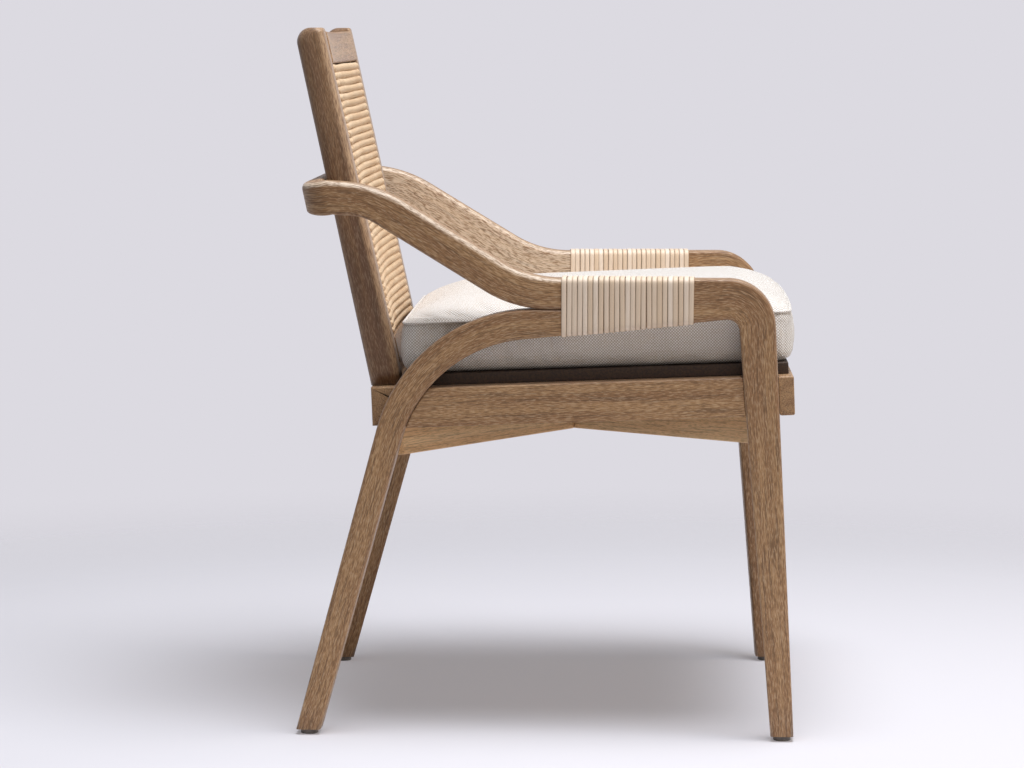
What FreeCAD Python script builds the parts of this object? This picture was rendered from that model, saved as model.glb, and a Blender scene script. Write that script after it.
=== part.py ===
import FreeCAD
import Part

import math
import os

# Armed dining chair with a rope-woven back, a loose box cushion and strip-bound arms.
# Millimetres. The origin is on the floor under the middle of the chair, +Z is up,
# the sitter faces -Y and the sitter's right is -X.

Vector = FreeCAD.Vector
ORIGIN = Vector(0, 0, 0)
X_AXIS = Vector(1, 0, 0)
Y_AXIS = Vector(0, 1, 0)
Z_AXIS = Vector(0, 0, 1)

# Overall size
overall_width = 571.5
overall_depth = 609.6
overall_height = 863.6
side_toe = 2.33  # degrees by which each side frame closes in towards the rear

# Side frames: front leg, rear leg and arm, all of one thickness
member_thickness = 32.0
edge_round = 4.0
arm_height = 563.0
front_foot_width = 28.0
front_rake = 28.0
knee_width = 42.0
knee_depth = 47.5
knee_outer_radius = 58.0
knee_inner_radius = 14.0
rear_foot_width = 29.8
rear_rake = 140.3
rear_bend_outer_radius = 200.0
rear_bend_inner_radius = 172.0
rear_bend_depth = 48.8
rear_bend_width = 21.0

# Arm and the band that joins the arms behind the back
arm_front_depth = 37.7
arm_slope = 31.4
arm_slope_start = 19.5
arm_slope_depth = 40.8
arm_rise = 118.5
arm_rear_depth = 41.0
arm_rear_tilt = 3.5
arm_low_top_radius = 140.0
arm_low_under_radius = 150.0
arm_high_top_radius = 170.0
arm_high_under_radius = 60.0
loop_corner_radius = 29.0
band_thickness = 29.0
band_depth = 38.0
band_drop = 18.5

# Strip binding over the joint of arm and legs
wrap_front = -183.0
wrap_length = 163.5
strip_pitch = 6.4
strip_width = 5.8
strip_thickness = 1.6
strip_clearance = 0.25

# Seat frame, tilted so that its front is higher
seat_tilt = 2.3
rail_top_height = 434.6
rail_depth = 47.5
front_rail_thickness = 20.0
front_rail_end_setback = 6.0
rail_housing = 2.5
rear_rail_overlap = 21.5
rear_rail_thickness = 38.0
side_rail_setback = 4.0
side_rail_thickness = 38.0
corner_block_leg = 45.0
corner_block_depth = 26.0
cleat_size = 18.0
cleat_gap = 20.0
stretcher_thickness = 22.0
stretcher_depth = 35.0
stretcher_drop = 1.5
deck_thickness = 14.0
deck_side_gap = 0.35
deck_front_setback = 5.0
deck_rear_clearance = 0.5

# Back frame and rope weave
stile_arm_gap = 13.0
back_lean = 12.43
stile_width = 34.0
stile_foot_depth = 39.5
stile_top_depth = 36.5
stile_top_front_radius = 4.0
stile_top_rear_radius = 17.0
back_rail_thickness = 22.0
top_rail_depth = 40.0
top_rail_drop = 4.0
bottom_rail_depth = 34.0
bottom_rail_rise = 24.0
back_hollow = 6.0
weave_proud = 2.0
rope_diameter = 8.7
rope_pitch = 9.2
rope_clearance = 0.3
stake_diameter = 8.0
stake_clearance = 0.1
stake_count = 5
stake_tenon = 12.0

# Loose cushion
cushion_side_gap = 8.0
cushion_front_overhang = 0.0
cushion_rear_gap = 4.0
cushion_rest_gap = 0.3
cushion_band_depth = 61.0
cushion_crown = 29.0
cushion_crown_inset = 85.0
cushion_corner_radius = 22.0
cover_thickness = 1.4
foam_clearance = 0.3
zip_length = 330.0
zip_width = 12.0
zip_clearance = 0.2
slider_length = 11.0
slider_width = 8.0
slider_thickness = 3.0
slider_gap = 0.3
slider_end_gap = 8.0
pull_length = 20.0
pull_width = 5.0
pull_thickness = 1.2

# Fixings
dowel_diameter = 8.0
dowel_clearance = 0.1
joint_dowel_length = 60.0
rail_dowel_length = 30.0
front_dowel_drop = 10.5
front_dowel_shift = 3.0
stile_dowel_length = 40.0
stretcher_dowel_length = 28.0
stretcher_dowel_shift = 5.0
dowel_pair_spacing = 14.0
bolt_diameter = 6.0
bolt_length = 28.0
bolt_head_diameter = 10.0
bolt_head_height = 5.0
bolt_drop = 19.0
bolt_leg_edge = 14.0
bolt_rail_gap = 9.0
deck_screw_diameter = 4.0
deck_screw_length = 34.0
deck_screw_head_diameter = 8.0
deck_screw_head_height = 3.0
band_screw_diameter = 5.0
band_screw_length = 40.0
band_screw_head_diameter = 9.5
band_screw_head_height = 4.0
plug_diameter = 10.0
plug_depth = 6.0
glide_diameter = 21.5
glide_height = 6.5
pin_diameter = 3.0
pin_length = 20.0
pin_seat = 3.0

# Working sizes that follow from the driving ones
REACH = overall_height
SAME_PLACE = 1e-6
TOE_SIN = math.sin(math.radians(side_toe))
TOE_COS = math.cos(math.radians(side_toe))
TILT_TAN = math.tan(math.radians(seat_tilt))
HALF_MEMBER = member_thickness / 2
HALF_RUN = (overall_depth / 2 - HALF_MEMBER * TOE_SIN) / TOE_COS
MID_HALF_WIDTH = overall_width / 2 - HALF_MEMBER * TOE_COS - HALF_RUN * TOE_SIN
SEAM_HEIGHT = arm_height - arm_front_depth
ARM_REAR_HEIGHT = arm_height + arm_rise
BAND_HEIGHT = ARM_REAR_HEIGHT - band_drop
JOINT_DEPTH = wrap_front + wrap_length / 2


def half_width_at(depth, inset):
    """Distance from the middle plane to a side frame's middle plane less an inset."""
    return MID_HALF_WIDTH - depth * TOE_SIN / TOE_COS - inset / TOE_COS


HALF_BACK = half_width_at(HALF_RUN, HALF_MEMBER) - stile_arm_gap
HALF_PANEL = HALF_BACK - stile_width


def line_depth(height, low, high):
    """Depth at a height on the straight line through two (depth, height) points."""
    share = (height - low[1]) / (high[1] - low[1])
    return low[0] + share * (high[0] - low[0])


def rail_top(depth):
    """Height of the tilted seat frame's top face at a depth."""
    return rail_top_height - TILT_TAN * depth


# Straight edges of the legs, as pairs of (depth, height) points
FRONT_LEG_FRONT = ((-HALF_RUN, glide_height), (-HALF_RUN + front_rake, arm_height))
KNEE_INNER = (-HALF_RUN + front_rake + knee_width, arm_height - knee_depth)
FRONT_LEG_BACK = ((-HALF_RUN + front_foot_width, glide_height), KNEE_INNER)
REAR_BEND_OUTER = (HALF_RUN - rear_rake, SEAM_HEIGHT)
REAR_LEG_BACK = ((HALF_RUN, glide_height), REAR_BEND_OUTER)
REAR_BEND_INNER = (REAR_BEND_OUTER[0] - rear_bend_width, SEAM_HEIGHT - rear_bend_depth)
REAR_LEG_FRONT = ((HALF_RUN - rear_foot_width, glide_height), REAR_BEND_INNER)


def underside(depth):
    """Height of the line under the arm, from the front knee back to the rear leg."""
    share = (depth - KNEE_INNER[0]) / (REAR_BEND_INNER[0] - KNEE_INNER[0])
    return KNEE_INNER[1] + share * (REAR_BEND_INNER[1] - KNEE_INNER[1])


# Foot of the back on the rear rail
RAIL_MIDDLE_HEIGHT = rail_top(REAR_BEND_OUTER[0]) - rail_depth / 2
BACK_FOOT = line_depth(RAIL_MIDDLE_HEIGHT, *REAR_LEG_BACK) - rear_rail_overlap
BACK_FOOT_HEIGHT = rail_top(BACK_FOOT)


def solid_of(shape):
    """The largest solid in a shape."""
    return max(shape.Solids, key=lambda solid: solid.Volume)


def rounded_face(points, radii):
    """Flat face through points, with each corner rounded to its radius."""
    edges = []
    starts, ends = [], []
    for index, (here, radius) in enumerate(zip(points, radii)):
        back = (points[index - 1] - here).normalize()
        ahead = (points[(index + 1) % len(points)] - here).normalize()
        half = back.getAngle(ahead) / 2
        reach = radius / math.tan(half)
        starts.append(here + back * reach)
        ends.append(here + ahead * reach)
        if radius:
            middle = here + (back + ahead).normalize() * (radius / math.sin(half) - radius)
            edges.append(Part.Arc(starts[-1], middle, ends[-1]).toShape())
    for index, start in enumerate(starts):
        edges.append(Part.makeLine(ends[index - 1], start))
    return Part.Face(Part.Wire(Part.__sortEdges__(edges)))


def side_board(corners, outer, thickness):
    """Board with a side outline of (depth, height, corner radius) corners, from its outer face in."""
    points = [Vector(outer, depth, height) for depth, height, _ in corners]
    face = rounded_face(points, [radius for _, _, radius in corners])
    return face.extrude(Vector(thickness, 0, 0))


def member(corners):
    """Member of a side frame, in the side plane."""
    return side_board(corners, -HALF_MEMBER, member_thickness)


def right_side(shape):
    """Stand a side-plane shape in the right-hand side frame."""
    placed = shape.copy()
    placed.rotate(ORIGIN, Z_AXIS, -side_toe)
    placed.translate(Vector(-MID_HALF_WIDTH, 0, 0))
    return placed


def left_of(shape):
    """Mirror image of a right-hand piece."""
    return shape.mirror(ORIGIN, X_AXIS)


def seat_placed(shape):
    """Tilt a shape drawn level, with the rails' top face at height 0, into the seat."""
    placed = shape.copy()
    placed.rotate(ORIGIN, X_AXIS, -seat_tilt)
    placed.translate(Vector(0, 0, rail_top_height))
    return placed


def back_placed(shape):
    """Lean a shape drawn upright, with the stiles' front face at depth 0, into the back."""
    placed = shape.copy()
    placed.rotate(ORIGIN, X_AXIS, -back_lean)
    placed.translate(Vector(0, BACK_FOOT, BACK_FOOT_HEIGHT))
    return placed


def box_between(low, high):
    """Box from its lowest to its highest corner."""
    size = Vector(*high) - Vector(*low)
    return Part.makeBox(size.x, size.y, size.z, Vector(*low))


def rod(centre, direction, diameter, length):
    """Round rod centred on a point."""
    axis = Vector(direction).normalize()
    return Part.makeCylinder(diameter / 2, length, centre - axis * (length / 2), axis)


def dowels(places, length, clearance=0.0):
    """Group of dowels, or with a clearance their holes, at (centre, direction) places."""
    diameter = dowel_diameter + 2 * clearance
    return Part.makeCompound(
        [rod(centre, way, diameter, length + 2 * clearance) for centre, way in places]
    )


def screw(diameter, length, head_diameter, head_height, clearance=0.0):
    """Countersunk screw along -Z with its head's top at the origin."""
    head = Part.makeCone(
        diameter / 2 + clearance, head_diameter / 2 + clearance, head_height, Vector(0, 0, -head_height)
    )
    shank = Part.makeCylinder(
        diameter / 2 + clearance, length - head_height + clearance, Vector(0, 0, -length - clearance)
    )
    return head.fuse(shank).removeSplitter()


def space_between_sides(clearance):
    """Tall wedge of space between the inner faces of the side frames."""
    inset = (HALF_MEMBER + clearance) / TOE_COS
    front = MID_HALF_WIDTH + REACH * TOE_SIN / TOE_COS - inset
    rear = MID_HALF_WIDTH - REACH * TOE_SIN / TOE_COS - inset
    outline = [
        Vector(-front, -REACH, -REACH),
        Vector(front, -REACH, -REACH),
        Vector(rear, REACH, -REACH),
        Vector(-rear, REACH, -REACH),
    ]
    face = Part.Face(Part.makePolygon(outline + outline[:1]))
    return face.extrude(Vector(0, 0, 3 * REACH))


def rounded_member(shape, keep_sharp):
    """Round a member's long edges, all but those that lie wholly at the depths or heights given."""
    edges = []
    for edge in shape.Edges:
        box = edge.BoundBox
        on_side = box.XLength < SAME_PLACE and abs(abs(box.Center.x) - HALF_MEMBER) < SAME_PLACE
        if on_side and not keep_sharp(box):
            edges.append(edge)
    return shape.makeFillet(edge_round, edges)


def at_depth(box, depth):
    """Whether an edge's box lies at one depth."""
    return box.YLength < SAME_PLACE and abs(box.Center.y - depth) < SAME_PLACE


def at_height(box, height):
    """Whether an edge's box lies at one height."""
    return box.ZLength < SAME_PLACE and abs(box.Center.z - height) < SAME_PLACE


def front_leg():
    """Front leg, knee and front stub of the arm, in the side plane."""
    blank = member(
        [
            (-HALF_RUN, glide_height, 0),
            (-HALF_RUN + front_rake, arm_height, knee_outer_radius),
            (JOINT_DEPTH, arm_height, 0),
            (JOINT_DEPTH, underside(JOINT_DEPTH), 0),
            (KNEE_INNER[0], KNEE_INNER[1], knee_inner_radius),
            (-HALF_RUN + front_foot_width, glide_height, 0),
        ]
    )
    return rounded_member(blank, lambda box: at_depth(box, JOINT_DEPTH) or at_height(box, glide_height))


def rear_leg():
    """Rear leg with its long bend up to the joint under the arm, in the side plane."""
    blank = member(
        [
            (JOINT_DEPTH, SEAM_HEIGHT, 0),
            (REAR_BEND_OUTER[0], SEAM_HEIGHT, rear_bend_outer_radius),
            (HALF_RUN, glide_height, 0),
            (HALF_RUN - rear_foot_width, glide_height, 0),
            (REAR_BEND_INNER[0], REAR_BEND_INNER[1], rear_bend_inner_radius),
            (JOINT_DEPTH, underside(JOINT_DEPTH), 0),
        ]
    )
    return rounded_member(blank, lambda box: at_depth(box, JOINT_DEPTH) or at_height(box, glide_height))


def stile_corners():
    """Side outline of a back stile, from the front of its foot round to the back of its foot."""
    rise = overall_height - BACK_FOOT_HEIGHT
    front_top = BACK_FOOT + rise * math.tan(math.radians(back_lean))
    back_foot = BACK_FOOT + stile_foot_depth
    return [
        (BACK_FOOT, BACK_FOOT_HEIGHT, 0),
        (front_top, overall_height, stile_top_front_radius),
        (front_top + stile_top_depth, overall_height, stile_top_rear_radius),
        (back_foot, rail_top(back_foot), 0),
    ]


def stile_back_line():
    """Foot point and lean in degrees of the stiles' back face."""
    _, _, top, foot = stile_corners()
    lean = math.degrees(math.atan2(top[0] - foot[0], top[1] - foot[1]))
    return foot, lean


def loop_rear_depth(height):
    """Depth of the rear face of the band at a height, read in the side plane."""
    foot, lean = stile_back_line()
    slant = math.radians(lean)
    depth = foot[0] + (height - foot[1]) * math.tan(slant) + band_thickness / math.cos(slant)
    return (depth + HALF_MEMBER * TOE_SIN) / TOE_COS


def crossing(point, slope, other, other_slope):
    """Where two lines, each given by a (depth, height) point and a slope, cross."""
    depth = (other[1] - point[1] + slope * point[0] - other_slope * other[0]) / (slope - other_slope)
    return depth, point[1] + slope * (depth - point[0])


def arm():
    """Arm from the joint, up the slope and back to the rounded rear corner, in the side plane."""
    slope = math.tan(math.radians(arm_slope))
    tilt = math.tan(math.radians(arm_rear_tilt))
    slope_drop = arm_slope_depth / math.cos(math.radians(arm_slope))
    rear_top = (loop_rear_depth(ARM_REAR_HEIGHT), ARM_REAR_HEIGHT)
    rear_low = (loop_rear_depth(ARM_REAR_HEIGHT - arm_rear_depth), ARM_REAR_HEIGHT - arm_rear_depth)
    top_start = (arm_slope_start, arm_height)
    under_start = (arm_slope_start, arm_height - slope_drop)
    top_bend = crossing(top_start, slope, rear_top, tilt)
    under_bend = crossing(under_start, slope, rear_low, tilt)
    under_foot = crossing(under_start, slope, (0, SEAM_HEIGHT), 0)
    blank = member(
        [
            (JOINT_DEPTH, arm_height, 0),
            (top_start[0], top_start[1], arm_low_top_radius),
            (top_bend[0], top_bend[1], arm_high_top_radius),
            (rear_top[0], rear_top[1], 0),
            (rear_low[0], rear_low[1], 0),
            (under_bend[0], under_bend[1], arm_high_under_radius),
            (under_foot[0], under_foot[1], arm_low_under_radius),
            (JOINT_DEPTH, SEAM_HEIGHT, 0),
        ]
    )
    corner = [
        edge
        for edge in blank.Edges
        if edge.BoundBox.YMin > rear_low[0] - edge_round and edge.BoundBox.XMax < 0
        and edge.BoundBox.ZLength > arm_rear_depth / 2
    ]
    return blank.makeFillet(min(loop_corner_radius, member_thickness - edge_round), corner)


def wrap_rings():
    """Turns of flat strip bound round the joint of arm and legs, in the side plane."""
    turns = int(wrap_length // strip_pitch)
    first = wrap_front + (wrap_length - (turns - 1) * strip_pitch - strip_width) / 2
    half_inner = HALF_MEMBER + strip_clearance
    half_outer = half_inner + strip_thickness
    rings = []
    for turn in range(turns):
        start = first + turn * strip_pitch
        end = start + strip_width
        low = min(underside(start), underside(end)) - strip_clearance
        high = arm_height + strip_clearance
        outer = box_between(
            (-half_outer, start, low - strip_thickness), (half_outer, end, high + strip_thickness)
        )
        inner = box_between((-half_inner, start, low), (half_inner, end, high))
        rings.append(outer.cut(inner))
    return Part.makeCompound(rings)


def glide_places():
    """Middle of each foot's underside in the side plane, front then rear."""
    return [
        Vector(0, -HALF_RUN + front_foot_width / 2, glide_height),
        Vector(0, HALF_RUN - rear_foot_width / 2, glide_height),
    ]


def glides_and_pins(clearance=0.0):
    """Round glides and the pins that hold them, for one side frame in the side plane."""
    down = Vector(0, 0, -glide_height)
    seat = Vector(0, 0, pin_seat - glide_height)
    pins = [
        Part.makeCylinder(pin_diameter / 2 + clearance, pin_length + clearance, place + seat)
        for place in glide_places()
    ]
    discs = [
        Part.makeCylinder(glide_diameter / 2, glide_height, place + down).cut(pin)
        for place, pin in zip(glide_places(), pins)
    ]
    return discs, pins


def joint_dowel_places():
    """Dowels across the joint under the binding, in the side plane."""
    arm_middle = (arm_height + SEAM_HEIGHT) / 2
    leg_middle = (SEAM_HEIGHT + underside(JOINT_DEPTH)) / 2
    upright_depth = JOINT_DEPTH + joint_dowel_length / 2 + dowel_diameter * 2
    lengthwise = [
        (Vector(-dowel_pair_spacing / 2, JOINT_DEPTH, arm_middle), Y_AXIS),
        (Vector(dowel_pair_spacing / 2, JOINT_DEPTH, arm_middle), Y_AXIS),
        (Vector(0, JOINT_DEPTH, leg_middle), Y_AXIS),
    ]
    upright = [(Vector(0, upright_depth, SEAM_HEIGHT), Z_AXIS)]
    return lengthwise, upright


def both_sides(group):
    """A right-hand group of pieces together with its mirror image."""
    return Part.makeCompound([group, left_of(group)])


def side_frames(parts):
    """Legs, arms, bindings, glides and the dowels that join them."""
    lengthwise, upright = joint_dowel_places()
    joint_holes = Part.makeCompound(
        [
            dowels(lengthwise, joint_dowel_length, dowel_clearance),
            dowels(upright, rail_dowel_length, dowel_clearance),
        ]
    )
    joint_pins = Part.makeCompound(
        [dowels(lengthwise, joint_dowel_length), dowels(upright, rail_dowel_length)]
    )
    _, pin_holes = glides_and_pins(dowel_clearance)
    discs, _ = glides_and_pins(dowel_clearance)
    _, pins = glides_and_pins()
    blanks = {
        "front_leg": front_leg().cut(joint_holes).cut(Part.makeCompound(pin_holes)),
        "rear_leg": rear_leg().cut(joint_holes).cut(Part.makeCompound(pin_holes)),
        "arm": arm().cut(joint_holes),
        "arm_wrap": wrap_rings(),
    }
    for name, blank in blanks.items():
        parts[name + "_right"] = right_side(blank)
        parts[name + "_left"] = left_of(parts[name + "_right"])
    parts["arm_joint_dowels"] = both_sides(right_side(joint_pins))
    parts["floor_glides"] = both_sides(right_side(Part.makeCompound(discs)))
    parts["glide_pins"] = both_sides(right_side(Part.makeCompound(pins)))


def drill(parts, names, holes):
    """Cut a group of holes out of each named piece."""
    for name in names:
        parts[name] = parts[name].cut(holes)


def front_rail_faces():
    """Front and back depths of the front rail, level in the seat frame."""
    middle = rail_top(-HALF_RUN) - rail_depth / 2
    back = line_depth(middle, *FRONT_LEG_FRONT) + rail_housing
    return back - front_rail_thickness, back


def seat_rails(parts):
    """Front, rear and side rails of the seat frame."""
    front, back = front_rail_faces()
    half_front = half_width_at(front, front_rail_end_setback - HALF_MEMBER)
    legs = [parts["front_leg_right"], parts["front_leg_left"]]
    front_rail = seat_placed(box_between((-half_front, front, -rail_depth), (half_front, back, 0)))
    parts["front_rail"] = solid_of(front_rail.cut(Part.makeCompound(legs)))

    rear_rail = seat_placed(
        box_between(
            (-overall_width, BACK_FOOT, -rail_depth), (overall_width, BACK_FOOT + rear_rail_thickness, 0)
        )
    )
    parts["rear_rail"] = rear_rail.common(space_between_sides(0))

    slab = seat_placed(
        box_between((-overall_width, front, -rail_depth), (overall_width, BACK_FOOT, 0))
    )
    outer = -HALF_MEMBER + side_rail_setback
    band = right_side(
        box_between((outer, -REACH, -REACH), (outer + side_rail_thickness, REACH, 2 * REACH))
    )
    side_rail = slab.common(band).cut(parts["front_rail"])
    side_rail = side_rail.cut(parts["front_leg_right"]).cut(parts["rear_leg_right"])
    parts["side_rail_right"] = solid_of(side_rail)
    parts["side_rail_left"] = left_of(parts["side_rail_right"])


def corner_block(depth, into_seat):
    """Triangular block, level, in the right-hand corner at a depth; into_seat is +1 or -1."""
    inner = side_rail_setback + side_rail_thickness - HALF_MEMBER
    corner = Vector(-half_width_at(depth, inner), depth, 0)
    spare = front_rail_thickness / 2
    reach = corner_block_leg + spare
    start = corner - Vector(spare, spare * into_seat, corner_block_depth)
    side = reach + spare
    outline = [start, start + Vector(side, 0, 0), start + Vector(0, side * into_seat, 0)]
    face = Part.Face(Part.makePolygon(outline + outline[:1]))
    return face.extrude(Vector(0, 0, corner_block_depth))


def block_centre(depth, into_seat):
    """Point on the top face over the middle of a corner block, level."""
    inner = side_rail_setback + side_rail_thickness - HALF_MEMBER
    third = corner_block_leg / 3
    return Vector(-half_width_at(depth, inner) + third, depth + third * into_seat, 0)


def seat_corners(parts):
    """Corner blocks, rear cleat, seat deck and the screws that hold the deck down."""
    front, back = front_rail_faces()
    rails = Part.makeCompound([parts["front_rail"], parts["rear_rail"], parts["side_rail_right"]])
    screws, holes = [], []
    for name, depth, into_seat in (("front", back, 1), ("rear", BACK_FOOT, -1)):
        block = solid_of(seat_placed(corner_block(depth, into_seat)).cut(rails))
        parts[name + "_corner_blocks"] = both_sides(block)
        place = block_centre(depth, into_seat) + Vector(0, 0, deck_thickness)
        sizes = (deck_screw_diameter, deck_screw_length, deck_screw_head_diameter, deck_screw_head_height)
        for group, clearance in ((screws, 0.0), (holes, dowel_clearance)):
            fixing = screw(*sizes, clearance)
            fixing.translate(place)
            group.append(seat_placed(fixing))

    inner = side_rail_setback + side_rail_thickness - HALF_MEMBER
    half_cleat = half_width_at(BACK_FOOT, inner) - corner_block_leg - cleat_gap
    parts["deck_cleat"] = seat_placed(
        box_between((-half_cleat, BACK_FOOT - cleat_size, -cleat_size), (half_cleat, BACK_FOOT, 0))
    )
    deck = seat_placed(
        box_between(
            (-overall_width, front + deck_front_setback, 0),
            (overall_width, BACK_FOOT - deck_rear_clearance, deck_thickness),
        )
    )
    beside_binding = strip_clearance + strip_thickness + deck_side_gap
    parts["seat_deck"] = deck.common(space_between_sides(beside_binding))
    parts["deck_screws"] = both_sides(Part.makeCompound(screws))
    names = ("front_corner_blocks", "rear_corner_blocks", "seat_deck")
    drill(parts, names, both_sides(Part.makeCompound(holes)))


def stretchers(parts):
    """Two crossed stretchers under the rails, halved into each other, and their dowels."""
    top = -rail_depth - stretcher_drop
    low = top - stretcher_depth
    middle_height = rail_top_height + (top + low) / 2
    front = (line_depth(middle_height, *FRONT_LEG_FRONT) + line_depth(middle_height, *FRONT_LEG_BACK)) / 2
    rear = (line_depth(middle_height, *REAR_LEG_BACK) + line_depth(middle_height, *REAR_LEG_FRONT)) / 2
    rear_end = Vector(-half_width_at(rear, HALF_MEMBER), rear, (top + low) / 2)
    front_end = Vector(half_width_at(front, HALF_MEMBER), front, (top + low) / 2)
    run = front_end - rear_end
    middle = (front_end + rear_end) / 2
    spare = stretcher_thickness * 2

    def bar(height_low, height_high):
        """Level bar from the rear right leg to the front left leg between two heights."""
        half = run.Length / 2 + spare
        blank = box_between(
            (-half, -stretcher_thickness / 2, height_low), (half, stretcher_thickness / 2, height_high)
        )
        blank.rotate(ORIGIN, Z_AXIS, math.degrees(math.atan2(run.y, run.x)))
        blank.translate(Vector(middle.x, middle.y, 0))
        return blank

    half_way = (top + low) / 2
    over = bar(low, top).cut(left_of(bar(low, half_way)))
    under = left_of(bar(low, top)).cut(bar(half_way, top))
    legs_space = space_between_sides(0)
    parts["cross_stretcher_over"] = seat_placed(over).common(legs_space)
    parts["cross_stretcher_under"] = seat_placed(under).common(legs_space)

    way = Vector(run).normalize()
    places = [
        (rear_end + way * stretcher_dowel_shift, way),
        (front_end - way * stretcher_dowel_shift, way),
    ]
    pins = seat_placed(dowels(places, stretcher_dowel_length))
    holes = both_sides(seat_placed(dowels(places, stretcher_dowel_length, dowel_clearance)))
    parts["stretcher_dowels"] = both_sides(pins)
    legs = ["front_leg_right", "front_leg_left", "rear_leg_right", "rear_leg_left"]
    drill(parts, legs + ["cross_stretcher_over", "cross_stretcher_under"], holes)


def sunk_bolt(mouth, clearance):
    """Bolt along -X, or with a clearance its bore, with its head sunk flush at the mouth."""
    head_length = bolt_head_height + clearance
    head = Part.makeCylinder(bolt_head_diameter / 2 + clearance, head_length, mouth, -X_AXIS)
    shank = Part.makeCylinder(
        bolt_diameter / 2 + clearance, bolt_head_height + bolt_length + clearance, mouth, -X_AXIS
    )
    return head.fuse(shank).removeSplitter()


def seat_fixings(parts):
    """Dowels and bolts that join the seat rails to the legs."""
    _, back = front_rail_faces()
    face = back - rail_housing
    front_x = -half_width_at(face, 0)
    heights = (-front_dowel_drop, -front_dowel_drop - dowel_pair_spacing)
    front_places = [
        (Vector(front_x, face + front_dowel_shift, height), Y_AXIS) for height in heights
    ]
    front_holes = both_sides(seat_placed(dowels(front_places, rail_dowel_length, dowel_clearance)))
    parts["front_rail_dowels"] = both_sides(seat_placed(dowels(front_places, rail_dowel_length)))
    drill(parts, ("front_rail", "front_leg_right", "front_leg_left"), front_holes)

    depth = BACK_FOOT + dowel_diameter
    rear_x = -half_width_at(depth, HALF_MEMBER)
    rear_places = [
        (Vector(rear_x, depth, -rail_depth / 2 + step * dowel_pair_spacing / 2), X_AXIS) for step in (-1, 1)
    ]
    rear_holes = both_sides(seat_placed(dowels(rear_places, rail_dowel_length, dowel_clearance)))
    parts["rear_rail_dowels"] = both_sides(seat_placed(dowels(rear_places, rail_dowel_length)))
    drill(parts, ("rear_rail", "rear_leg_right", "rear_leg_left"), rear_holes)

    front_depth = line_depth(rail_top_height - bolt_drop, *FRONT_LEG_BACK) - bolt_leg_edge
    rear_depth = BACK_FOOT - bolt_rail_gap
    inner = side_rail_setback + side_rail_thickness - HALF_MEMBER
    bolts, holes = [], []
    for depth in (front_depth, rear_depth):
        mouth = Vector(inner, depth, rail_top(depth) - bolt_drop)
        for group, clearance in ((bolts, 0.0), (holes, dowel_clearance)):
            group.append(right_side(sunk_bolt(mouth, clearance)))
    parts["leg_bolts"] = both_sides(Part.makeCompound(bolts))
    pieces = ("front_leg", "rear_leg", "side_rail")
    names = [piece + side for piece in pieces for side in ("_right", "_left")]
    drill(parts, names, both_sides(Part.makeCompound(holes)))


def weave_arc():
    """Middle depth at the stiles, radius, centre and half angle of the hollow back, upright."""
    spacing = stake_diameter + 2 * stake_clearance + rope_diameter
    middle = -weave_proud + rope_diameter / 2 + spacing / 2
    half_chord = HALF_PANEL - rope_clearance - (spacing + rope_diameter) / 2
    radius = (half_chord ** 2 + back_hollow ** 2) / (2 * back_hollow)
    centre = middle + back_hollow - radius
    return spacing, middle, radius, centre, math.asin(half_chord / radius)


def stile_length():
    """Length of the back along its lean, up to the stiles' front top edge."""
    return (overall_height - BACK_FOOT_HEIGHT) / math.cos(math.radians(back_lean))


def back_rail(low, depth):
    """Hollow back rail between the stiles, upright, from its lower edge."""
    _, middle, radius, centre, _ = weave_arc()
    base = Vector(0, centre, low)
    outer = Part.makeCylinder(radius + back_rail_thickness / 2, depth, base)
    inner = Part.makeCylinder(radius - back_rail_thickness / 2, depth, base)
    reach = back_rail_thickness + back_hollow
    window = box_between((-HALF_PANEL, middle - reach, low), (HALF_PANEL, middle + reach, low + depth))
    return window.common(outer.cut(inner))


def rope_turn():
    """One turn of rope round the outer stakes, upright, at height 0."""
    spacing, _, radius, centre, half_angle = weave_arc()
    axis_point = Vector(0, centre, 0)
    turn = math.degrees(half_angle)

    def section(distance):
        """Rope section on the left-hand outer stake's ray at a distance from the hollow's centre."""
        place = axis_point + Vector(math.sin(half_angle), math.cos(half_angle), 0) * distance
        along = Vector(math.cos(half_angle), -math.sin(half_angle), 0)
        return Part.Face(Part.Wire(Part.makeCircle(rope_diameter / 2, place, along)))

    front = section(radius - spacing / 2).revolve(axis_point, Z_AXIS, 2 * turn)
    rear = section(radius + spacing / 2).revolve(axis_point, Z_AXIS, 2 * turn)
    stake = axis_point + Vector(math.sin(half_angle), math.cos(half_angle), 0) * radius
    end = section(radius - spacing / 2).revolve(stake, Z_AXIS, 180)
    other_end = end.mirror(ORIGIN, X_AXIS)
    return front.fuse([rear, end, other_end])


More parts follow.
